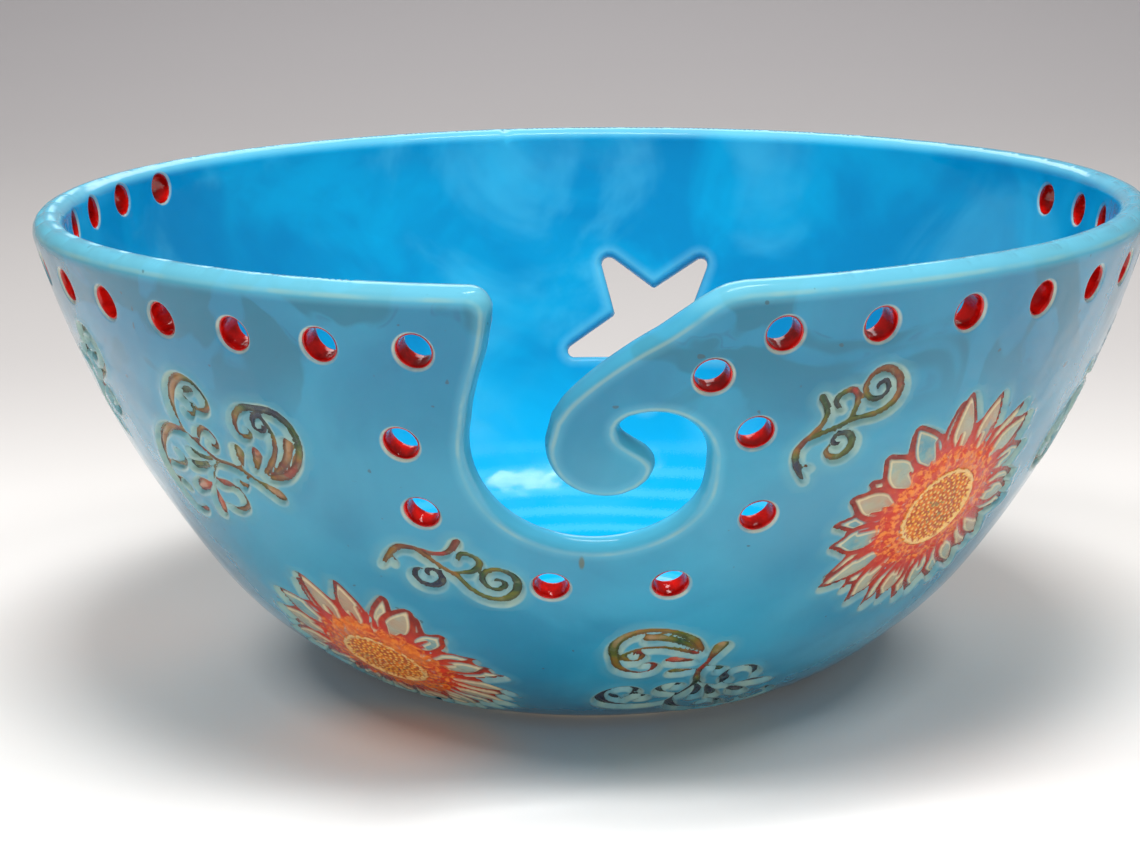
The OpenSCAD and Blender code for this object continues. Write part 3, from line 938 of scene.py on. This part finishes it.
def petal_depth(flat):
    """Thin raised outlines sunk below pillowed petals, and a beaded ring round the disc."""
    outside, line, _ = FLOWER_STAMP.field(flat).T
    r = np.linalg.norm(flat, axis=1)
    groove = 0.62 - 0.44 * smooth((line + 0.1) / 0.6)
    pillow = 0.10 * smooth((line - 0.3) / 1.4)
    angle = np.arctan2(flat[:, 1], flat[:, 0])
    beads = 0.10 * np.sin(angle * 34 + 3 * np.sin(r * 2.1)) * np.sin(r * 3.4) * smooth((12.2 - r) / 1.5)
    ring = smooth((11.6 - r) / 1.2)
    return (groove - pillow) * (1 - ring) + (0.24 + beads) * ring + 0.12 * smooth((outside + 0.5) / 0.7)


def petal_values(flat):
    outside, line, tone = FLOWER_STAMP.field(flat).T
    return {"line": line, "tone": tone, "radial": np.linalg.norm(flat, axis=1), "border": outside}


GOLDEN = math.pi * (3 - math.sqrt(5))
SEEDS = 150
seed_r = DISC_R * 0.9 * np.sqrt((np.arange(SEEDS) + 0.5) / SEEDS)
seed_angle = GOLDEN * np.arange(SEEDS)
SEED_SPOTS = np.stack([seed_r * np.cos(seed_angle), seed_r * np.sin(seed_angle)], -1)


def disc_reach(flat):
    return np.linalg.norm(flat, axis=1) - DISC_R


def disc_depth(flat):
    """A low dome of seeds with a rolled border."""
    r = np.linalg.norm(flat, axis=1)
    seed, _ = nearest(flat, SEED_SPOTS)
    dome = 0.10 * (1 - (r / DISC_R) ** 2)
    border = 0.14 * np.exp(-(((r - DISC_R + 0.55) / 0.4) ** 2))
    return 0.26 - dome - border + 0.22 * smooth((seed - 0.22) / 0.35) * smooth((DISC_R - 0.8 - r) / 0.5)


def disc_values(flat):
    seed, _ = nearest(flat, SEED_SPOTS)
    return {"seed": seed, "radial": np.linalg.norm(flat, axis=1)}


def line_plate(name, place, stamp):
    """Glaze pooled in a stamp's strokes."""

    def top(flat):
        edge, _, half = stamp.field(flat).T
        hollow = 0.25 * smooth(-edge / 0.5)
        pillow = 0.48 * smooth((half - 0.85) / 0.4) * smooth((-edge - 0.40) / 0.6)
        return 0.52 + hollow - pillow

    def values(flat):
        edge, tint, half = stamp.field(flat).T
        return {"border": edge, "tint": tint, "tone": smooth((half - 0.85) / 0.3)}

    return plate(name, place, FINE_SPACING, stamp.low, stamp.high, lambda f: stamp.edge(f) - 0.14,
                 top, GLAZE_BOTTOM, values)


# --- linings and foot -----------------------------------------------------------------
def hoops(rings, steps, first=0):
    """Quads that join a closed run of rings, each to the next and the last to the first."""
    starts = first + steps * np.arange(rings)
    return [band(a, b, steps)[:, [0, 3, 2, 1]] for a, b in zip(starts, np.roll(starts, -1))]


def build_linings(name, holes):
    """A red glazed tube in each hole, flared a little where it meets the wall's faces."""
    profile = [(3.20, HALF - 0.42), (3.12, HALF - 0.34), (2.98, HALF - 0.50), (2.88, HALF - 0.95),
               (2.84, 1.0), (2.84, -0.8), (2.90, 1.05 - HALF), (3.02, 0.55 - HALF),
               (3.14, 0.36 - HALF), (3.20, 0.44 - HALF)]
    steps = 36
    turn = np.linspace(0, math.tau, steps, endpoint=False)
    points, faces, count = [], [], 0
    for number, hole in enumerate(holes):
        for k, (r, out) in enumerate(profile):
            drip = 1 - 0.02 * np.sin(2 * turn + number) - 0.015 * np.sin(3 * turn + 2 * number + k)
            sheet = hole.to_sheet(circle(r * drip, steps))
            points.append(to_space(sheet, np.full(steps, out), inner=out < 0))
        faces += hoops(len(profile), steps, count)
        count += len(profile) * steps
    return mesh_object(name, np.vstack(points), faces)


def revolve(name, profile, steps):
    """Turn a closed (r, z) outline about the bowl's axis."""
    angles = np.linspace(0, math.tau, steps, endpoint=False)
    points = []
    for k, (r, z) in enumerate(profile):
        ripple = r + 0.05 * np.sin(7 * angles + k)
        points.append(np.stack([ripple * np.sin(angles), -ripple * np.cos(angles), np.full(steps, z)], -1))
    return mesh_object(name, np.vstack(points) * MM, hoops(len(profile), steps))


def build_foot():
    """A trimmed ring of bare clay with softened edges and fine turning lines."""
    low, high = (np.array(corner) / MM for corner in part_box("foot_ring"))
    outer = high[0]
    width = 8
    inner = outer - width
    soft = 0.6
    top = high[2]
    profile = [(outer, top), (outer, low[2] + soft)]
    profile += [(outer - soft + soft * math.cos(a), low[2] + soft - soft * math.sin(a))
                for a in np.radians([30, 60, 90])]
    for r in np.arange(outer - 1.2, inner + 1.0, -0.8):
        profile.append((r, low[2] + 0.06 + 0.05 * math.sin(r * 2.5)))
    profile += [(inner + soft - soft * math.cos(a), low[2] + soft - soft * math.sin(a))
                for a in np.radians([90, 60, 30])]
    profile += [(inner, low[2] + soft), (inner, top)]
    return revolve("foot", profile[::-1], 160)


# --- materials ------------------------------------------------------------------------
def linear(r, g, b):
    """A colour written as 0 to 255 screen values, as linear light."""
    c = np.array([r, g, b]) / 255
    return tuple(np.where(c <= 0.04045, c / 12.92, ((c + 0.055) / 1.055) ** 2.4)) + (1.0,)


class Shader:
    """Builds one node material a step at a time."""

    def __init__(self, name, roughness=0.1, coat=0.0):
        self.material = bpy.data.materials.new(name)
        self.material.use_nodes = True
        self.tree = self.material.node_tree
        self.surface = self.tree.nodes["Principled BSDF"]
        self.surface.inputs["Roughness"].default_value = roughness
        self.surface.inputs["Coat Weight"].default_value = coat
        self.surface.inputs["Coat Roughness"].default_value = 0.04
        self.place = self.tree.nodes.new("ShaderNodeTexCoord").outputs["Object"]

    def link(self, value, socket):
        if isinstance(value, bpy.types.NodeSocket):
            self.tree.links.new(value, socket)
        else:
            socket.default_value = value

    def attribute(self, name):
        node = self.tree.nodes.new("ShaderNodeAttribute")
        node.attribute_name = name
        return node.outputs["Fac"]

    def vector(self, operation, a, b=(0, 0, 0)):
        node = self.tree.nodes.new("ShaderNodeVectorMath")
        node.operation = operation
        self.link(a, node.inputs[0])
        self.link(b, node.inputs[1])
        return node

    def noise(self, size, detail=3.0, distortion=0.0, rough=0.5, shift=0.0):
        """Smooth noise whose features are about size millimetres across."""
        place = self.vector("ADD", self.place, (shift, shift * 0.7, -shift))
        node = self.tree.nodes.new("ShaderNodeTexNoise")
        self.link(place.outputs[0], node.inputs["Vector"])
        node.inputs["Scale"].default_value = 1000.0 / size
        node.inputs["Detail"].default_value = detail
        node.inputs["Roughness"].default_value = rough
        node.inputs["Distortion"].default_value = distortion
        return node.outputs["Fac"]

    def math(self, operation, a, b=0.0):
        node = self.tree.nodes.new("ShaderNodeMath")
        node.operation = operation
        self.link(a, node.inputs[0])
        self.link(b, node.inputs[1])
        return node.outputs[0]

    def times(self, a, b):
        return self.math("MULTIPLY", a, b)

    def plus(self, a, b):
        return self.math("ADD", a, b)

    def gap(self, value, middle):
        """How far a value is from a middle number, either way."""
        return self.math("ABSOLUTE", self.math("SUBTRACT", value, middle))

    def step(self, value, start, end, low=0.0, high=1.0):
        """Ease from low to high as value goes from start to end."""
        node = self.tree.nodes.new("ShaderNodeMapRange")
        node.interpolation_type = "SMOOTHSTEP"
        for socket, number in zip(node.inputs[:5], (value, start, end, low, high)):
            self.link(number, socket)
        return node.outputs[0]

    def mix(self, factor, a, b):
        node = self.tree.nodes.new("ShaderNodeMix")
        node.data_type = "RGBA"
        self.link(factor, node.inputs["Factor"])
        self.link(a, node.inputs[6])
        self.link(b, node.inputs[7])
        return node.outputs[2]

    def colours(self, value, stops):
        """A run of colours along a value, given as (place, colour) pairs."""
        node = self.tree.nodes.new("ShaderNodeValToRGB")
        ramp = node.color_ramp
        ramp.elements[0].position, ramp.elements[0].color = stops[0]
        ramp.elements[1].position, ramp.elements[1].color = stops[-1]
        for place, colour in stops[1:-1]:
            ramp.elements.new(place).color = colour
        self.link(value, node.inputs[0])
        return node.outputs[0]

    def spot(self, centre, reach):
        """One at a point of the object, easing to none at reach millimetres along x, y and z."""
        offset = self.vector("SUBTRACT", self.place, centre)
        scaled = self.vector("DIVIDE", offset.outputs[0], [r * MM for r in reach])
        length = self.vector("LENGTH", scaled.outputs[0])
        return self.step(length.outputs["Value"], 1.2, 0.5)

    def rings(self, spacing, drift):
        """Waves round the bowl's axis, spacing metres apart up and out, that wander a little."""
        wave = self.tree.nodes.new("ShaderNodeTexWave")
        wave.wave_type = "RINGS"
        wave.rings_direction = "Z"
        wave.inputs["Scale"].default_value = 0.314 / spacing
        wave.inputs["Distortion"].default_value = drift
        wave.inputs["Detail Scale"].default_value = 0.2 / spacing
        self.link(self.place, wave.inputs["Vector"])
        return wave.outputs["Fac"]

    def along(self, axis):
        """Place along the x, y or z axis in metres."""
        node = self.tree.nodes.new("ShaderNodeSeparateXYZ")
        self.link(self.place, node.inputs[0])
        return node.outputs[axis]

    def bump(self, value, distance, strength):
        node = self.tree.nodes.new("ShaderNodeBump")
        node.inputs["Distance"].default_value = distance
        node.inputs["Strength"].default_value = strength
        self.link(value, node.inputs["Height"])
        self.link(node.outputs[0], self.surface.inputs["Normal"])

    def finish(self, colour, roughness=None):
        self.link(colour, self.surface.inputs["Base Color"])
        if roughness is not None:
            self.link(roughness, self.surface.inputs["Roughness"])
        return self.material


def on_wall(angle, down):
    """A point of the outer face, in metres."""
    sheet = np.array([[math.radians(angle) * MAP_R, -down]])
    return to_space(sheet, np.full(1, HALF))[0].tolist()


IRON_SPOT = on_wall(-1.6, NOTCH.down + 28.5)


def glaze_material():
    s = Shader("turquoise_glaze", 0.12, 0.15)
    cut = s.attribute("cut")
    hole = s.attribute("hole")
    stamp = s.attribute("stamp")
    inner = s.attribute("inner")
    cloud = s.noise(34, 4, 0.6)
    fine = s.noise(5, 3, 0.2, shift=0.3)
    outer = s.mix(s.step(cloud, 0.35, 0.66), linear(8, 121, 156), linear(34, 144, 177))
    pale = s.times(s.step(s.noise(60, 2, 0.4, shift=0.7), 0.5, 0.72), 0.4)
    outer = s.mix(pale, outer, linear(80, 160, 184))
    height = s.along("Z")
    swirl = s.noise(30, 2, 1.8, 0.4, shift=0.5)
    band = s.step(height, 0.060, 0.080)
    outer = s.mix(s.times(band, 0.4), outer, linear(0, 112, 154))
    patch = s.times(s.step(swirl, 0.48, 0.53), band)
    outer = s.mix(s.times(patch, 0.75), outer, linear(0, 102, 128))
    line = s.step(s.gap(swirl, 0.485), 0.014, 0.002)
    line = s.times(s.times(line, band), s.step(fine, 0.45, 0.65, 0.0, 0.35))
    outer = s.mix(line, outer, linear(8, 80, 112))
    halo = s.times(s.step(stamp, 3.2, 0.6), 0.3)
    outer = s.mix(halo, outer, linear(96, 160, 168))
    cream_noise = s.step(fine, 0.3, 0.7, 0.3, 1.0)
    ridge = s.times(s.step(stamp, 0.95, 0.35), cream_noise)
    outer = s.mix(s.times(ridge, 0.6), outer, linear(176, 190, 160))
    inside = s.mix(s.step(cloud, 0.36, 0.64), linear(0, 130, 180), linear(0, 156, 202))
    inside = s.mix(s.step(height, 0.050, 0.018), inside, linear(0, 172, 222))
    # painted reflection: pale clouds on the inner face stand in for dim reflections of the lamps
    inside = s.mix(s.times(s.step(s.noise(48, 4, 1.2, shift=0.9), 0.46, 0.68), 0.36),
                   inside, linear(84, 190, 220))
    # painted reflection: pale rings on the inner floor stand in for the lamps and back wall mirrored in the
    # throwing rings
    rings = s.times(s.step(s.rings(0.0042, 2.0), 0.3, 1.0), s.step(height, 0.030, 0.018, 0.0, 0.24))
    inside = s.mix(rings, inside, linear(120, 214, 240))
    both = s.mix(s.step(inner, 0.3, 0.7), outer, inside)
    # partly thin glaze on the rim, partly painted highlight: the rim's top is paler as if lit from above
    rim = s.times(s.step(cut, 3.4, 1.2), s.step(height, 0.085, 0.089, 0.25, 0.6))
    both = s.mix(rim, both, linear(120, 200, 220))
    edge_noise = s.step(s.noise(9, 3, 0.3, shift=0.2), 0.38, 0.62, 0.25, 1.0)
    lip = s.times(s.step(s.gap(cut, 1.45), 0.55, 0.05), edge_noise)
    lip = s.times(lip, s.step(inner, 0.8, 0.4, 0.05, 0.36))
    both = s.mix(lip, both, linear(164, 184, 158))
    ring = s.times(s.step(hole, 0.7, 0.3), cream_noise)
    both = s.mix(s.times(ring, 0.75), both, linear(196, 196, 172))
    smear = s.times(s.spot(IRON_SPOT, (0.55, 3.0, 1.5)), s.step(fine, 0.3, 0.6, 0.5, 1.0))
    both = s.mix(s.times(smear, 0.8), both, linear(84, 88, 58))
    speck = s.times(s.step(s.noise(1.7, 0, 0, shift=1.1), 0.83, 0.86), s.math("SUBTRACT", 1.0, inner))
    both = s.mix(s.times(speck, 0.6), both, linear(50, 66, 66))
    ripple = s.plus(s.noise(16, 2, 0.3, shift=0.4), s.times(s.noise(3, 2), 0.08))
    s.bump(ripple, 0.0012, 0.45)
    return s.finish(both, s.step(fine, 0.3, 0.7, 0.08, 0.15))


def lining_material():
    s = Shader("red_lining", 0.1, 0.2)
    tone = s.mix(s.step(s.noise(2.5, 3), 0.35, 0.65), linear(150, 6, 4), linear(196, 16, 10))
    s.bump(s.noise(1.6, 2), 0.0003, 0.5)
    return s.finish(tone, s.step(s.noise(1.2, 2), 0.3, 0.7, 0.06, 0.14))


def petal_material():
    """Red lines over grey-green and peach petals that run to orange round the disc."""
    s = Shader("petal_glaze", 0.14, 0.0)
    line = s.attribute("line")
    tone = s.attribute("tone")
    radial = s.attribute("radial")
    border = s.attribute("border")
    fleck = s.noise(1.6, 4, 0.5)
    patch = s.noise(5, 3, 0.6, shift=0.3)
    choice = s.plus(s.times(tone, 0.5), s.times(patch, 0.6))
    petal = s.colours(choice, [
        (0.2, linear(62, 132, 152)), (0.40, linear(112, 158, 158)), (0.60, linear(156, 162, 142)),
        (0.76, linear(176, 140, 112)), (0.92, linear(80, 140, 152))])
    petal = s.mix(s.step(fleck, 0.45, 0.7, 0.0, 0.45), petal, linear(164, 158, 126))
    rosy = s.times(s.step(radial, 16.5, 12.5), s.step(patch, 0.35, 0.6, 0.2, 0.7))
    petal = s.mix(rosy, petal, linear(188, 92, 48))
    cream = s.step(s.gap(line, 0.42), 0.26, 0.03, 0.0, 0.75)
    petal = s.mix(cream, petal, linear(214, 198, 156))
    deep = s.mix(s.step(radial, 12.5, 22.0), linear(190, 30, 2), linear(120, 22, 6))
    deep = s.mix(s.step(fleck, 0.45, 0.7, 0.0, 0.35), deep, linear(200, 70, 14))
    colour = s.mix(s.step(line, 0.28, -0.02), petal, deep)
    streak = s.times(s.step(fleck, 0.3, 0.7, -0.5, 0.5), s.step(radial, 17.5, 12.0))
    ring = s.plus(s.step(radial, 15.5, 11.0), streak)
    ember = s.mix(s.step(s.noise(1.0, 3, 0.2, shift=0.9), 0.44, 0.6), linear(200, 44, 4),
                  linear(232, 128, 40))
    gold = s.step(s.noise(13, 2, 0.3, shift=0.15), 0.46, 0.62, 0.0, 0.6)
    ember = s.mix(gold, ember, linear(226, 120, 26))
    colour = s.mix(s.step(ring, 0.3, 0.75), colour, ember)
    pale = s.times(s.step(border, -0.12, 0.08), 0.5)
    colour = s.mix(pale, colour, linear(160, 140, 100))
    s.bump(s.plus(fleck, s.noise(0.7, 2)), 0.00025, 0.6)
    return s.finish(colour, s.step(fleck, 0.3, 0.7, 0.1, 0.22))


def seed_material():
    s = Shader("seed_glaze", 0.16, 0.0)
    seed = s.attribute("seed")
    radial = s.attribute("radial")
    fleck = s.noise(1.0, 3)
    low = s.mix(s.step(fleck, 0.4, 0.62), linear(176, 74, 8), linear(222, 116, 16))
    high = s.mix(s.step(s.noise(4, 3, shift=0.4), 0.4, 0.62), linear(240, 184, 60), linear(226, 186, 96))
    colour = s.mix(s.step(seed, 0.42, 0.2), low, high)
    green = s.times(s.step(s.noise(1.3, 1, shift=0.8), 0.62, 0.68), s.step(radial, 6.0, 3.0))
    colour = s.mix(s.times(green, 0.7), colour, linear(116, 110, 60))
    wander = s.plus(radial, s.step(fleck, 0.3, 0.7, -0.5, 0.5))
    border = s.step(s.gap(wander, DISC_R - 0.7), 0.8, 0.2)
    colour = s.mix(s.times(border, 0.75), colour, linear(240, 206, 128))
    s.bump(fleck, 0.00025, 0.6)
    return s.finish(colour, s.step(fleck, 0.3, 0.7, 0.12, 0.25))


def stroke_material():
    """Rust, olive, green, teal and navy glazes run together, with painted shade darkest along the strokes'
    sides.
    """
    s = Shader("stamp_glaze", 0.12, 0.0)
    tint = s.attribute("tint")
    border = s.attribute("border")
    tone = s.attribute("tone")
    drift = s.step(s.noise(6, 3, 0.6), 0.3, 0.7, -0.12, 0.12)
    colour = s.colours(s.plus(tint, drift), [
        (0.0, linear(164, 34, 12)), (0.14, linear(100, 42, 18)), (0.28, linear(134, 88, 22)),
        (0.42, linear(92, 94, 10)), (0.56, linear(30, 64, 20)), (0.72, linear(26, 48, 52)),
        (0.86, linear(22, 34, 60)), (1.0, linear(14, 16, 44))])
    mottle = s.step(s.noise(1.6, 3, 0.4, shift=0.4), 0.5, 0.75, 0.0, 0.4)
    colour = s.mix(mottle, colour, linear(120, 128, 92))
    pale = s.times(s.step(s.noise(3, 2, shift=0.7), 0.38, 0.58, 0.25, 1.0), tone)
    pale = s.times(pale, s.step(tint, 0.6, 0.3, 0.08, 0.5))
    colour = s.mix(s.times(pale, s.step(border, -0.45, -0.8)), colour, linear(176, 140, 104))
    # painted shade: a dark line along the strokes' sides, where shade falls in the stamped grooves
    painted_groove_shade = s.times(s.step(s.gap(border, -0.28), 0.3, 0.05), 0.5)
    colour = s.mix(painted_groove_shade, colour, linear(44, 38, 26))
    s.bump(s.noise(1.2, 3), 0.0002, 0.5)
    return s.finish(colour, s.step(s.noise(2, 2), 0.3, 0.7, 0.08, 0.18))


def clay_material():
    s = Shader("bare_clay", 0.75)
    grain = s.noise(1.2, 4)
    colour = s.mix(s.step(s.noise(9, 3), 0.35, 0.65), linear(186, 150, 104), linear(214, 190, 150))
    colour = s.mix(s.step(grain, 0.5, 0.72, 0.0, 0.5), colour, linear(132, 92, 58))
    s.bump(grain, 0.0003, 0.7)
    return s.finish(colour, s.step(grain, 0.3, 0.7, 0.6, 0.9))


def floor_material():
    """Pale card, with painted shade that greys it where it runs away behind."""
    s = Shader("studio_floor", 0.6)
    away = s.along("Y")
    near = s.mix(s.step(s.noise(300, 3), 0.35, 0.65), linear(232, 229, 225), linear(236, 233, 230))
    # painted shade: the card darkens with distance behind the bowl, standing in for the lamps' falloff
    behind = s.mix(s.step(away, 0.02, 0.32), near, linear(204, 200, 198))
    return s.finish(s.mix(s.step(away, 0.32, 1.3), behind, linear(196, 192, 194)))


# --- putting the bowl together --------------------------------------------------------
def hand_over(piece, material, nodes):
    piece.data.materials.append(material)
    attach(piece, "root")
    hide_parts(*nodes)


hand_over(build_bowl(), glaze_material(), ["bowl_body"])
hand_over(build_foot(), clay_material(), ["foot_ring"])

red = lining_material()
left_end = len(LEFT_HOLES)
right_end = left_end + len(RIGHT_HOLES)
for name, node, holes in (
    ("hole_linings_left", "rim_hole_linings_left", HOLES[:left_end]),
    ("hole_linings_right", "rim_hole_linings_right", HOLES[left_end:right_end]),
    ("hole_linings_swirl", "swirl_hole_linings", HOLES[right_end:]),
):
    hand_over(build_linings(name, holes), red, [node])

petals = petal_material()
seeds = seed_material()
for name, place in FLOWERS.items():
    piece = plate("petals_" + name, place, PETAL_SPACING, FLOWER_STAMP.low, FLOWER_STAMP.high,
                  petal_reach, petal_depth, GLAZE_BOTTOM, petal_values)
    hand_over(piece, petals, ["sunflower_petals_" + name])
    piece = plate("disc_" + name, place, FINE_SPACING, (-10, -10), (10, 10),
                  disc_reach, disc_depth, SEED_BOTTOM, disc_values)
    hand_over(piece, seeds, ["sunflower_disc_" + name])

stroke_glaze = stroke_material()
for name, place in SCROLLS.items():
    piece = line_plate("flourish_" + name, place, SCROLL_STAMPS[name in NAVY_SCROLLS])
    hand_over(piece, stroke_glaze, ["scroll_" + name])
for name, place in SPRAYS.items():
    piece = line_plate("sprig_" + name, place, SPRAY_STAMPS[name in SLATE_SPRAYS])
    hand_over(piece, stroke_glaze, ["spray_" + name])


# --- studio ---------------------------------------------------------------------------
def build_floor():
    """A pale sheet that lies flat under the bowl and sweeps up behind it."""
    front, start, radius, width = -3.0, 0.75, 1.2, 2.6
    profile = [(front, 0.0)] + [(start * t / 6, 0.0) for t in range(7)]
    for degrees in range(5, 81, 5):
        a = math.radians(degrees)
        profile.append((start + radius * math.sin(a), radius * (1 - math.cos(a))))
    xs = np.linspace(-width, width, 5)
    points = [(x, y, z) for y, z in profile for x in xs]
    faces = [(i * 5 + j, i * 5 + j + 1, (i + 1) * 5 + j + 1, (i + 1) * 5 + j)
             for i in range(len(profile) - 1) for j in range(4)]
    floor = mesh_object("floor", np.array(points), [faces])
    floor.data.materials.append(floor_material())


def area_light(name, place, target, size, power, glossy=True, depth=None):
    data = bpy.data.lights.new(name, "AREA")
    data.shape = "RECTANGLE"
    data.size = size
    data.size_y = depth or size
    data.energy = power
    lamp = bpy.data.objects.new(name, data)
    bpy.context.scene.collection.objects.link(lamp)
    lamp.location = place
    lamp.rotation_euler = (Vector(target) - Vector(place)).to_track_quat("-Z", "Y").to_euler()
    lamp.visible_glossy = glossy


def add_camera():
    """The viewpoint: in front of the notch, a little above the rim, tilted down."""
    place = (-0.0004, -0.530, 0.1666)
    yaw, pitch, roll = math.radians(-0.46), math.radians(12.94), -0.0142
    ahead = Vector((math.sin(yaw) * math.cos(pitch), math.cos(yaw) * math.cos(pitch), -math.sin(pitch)))
    side = ahead.cross(Vector((0, 0, 1))).normalized()
    up = side.cross(ahead)
    side, up = (math.cos(roll) * side + math.sin(roll) * up, math.cos(roll) * up - math.sin(roll) * side)
    data = bpy.data.cameras.new("camera")
    data.sensor_width = 36
    data.lens = 88.7
    camera = bpy.data.objects.new("camera", data)
    bpy.context.scene.collection.objects.link(camera)
    turn = Matrix((side, up, -ahead)).transposed().to_4x4()
    camera.matrix_world = Matrix.Translation(place) @ turn
    bpy.context.scene.camera = camera


build_floor()
area_light("key", (0.05, -0.25, 1.15), (0, 0, 0), 0.40, 9.8, glossy=False)
area_light("front_fill", (0, -1.3, 0.28), (0, 0, 0.04), 0.7, 6.2, glossy=False, depth=0.3)
area_light("spark", (0.05, -0.12, 1.0), (0, 0, 0), 0.60, 1.5, depth=0.08)
area_light("left_box", (-0.62, -0.30, 1.05), (0, 0, 0.05), 0.3, 4.6, glossy=False)
area_light("right_box", (0.62, -0.30, 1.05), (0, 0, 0.05), 0.3, 3.6, glossy=False)
area_light("back_glow", (0.0, 0.9, 0.75), (0, 0.1, 0.05), 0.6, 2.2)
world = bpy.data.worlds.new("studio")
bpy.context.scene.world = world
world.use_nodes = True
world.node_tree.nodes["Background"].inputs[0].default_value = (1.0, 0.98, 0.97, 1)
world.node_tree.nodes["Background"].inputs[1].default_value = 0.12
bpy.context.scene.view_settings.view_transform = "Standard"
add_camera()
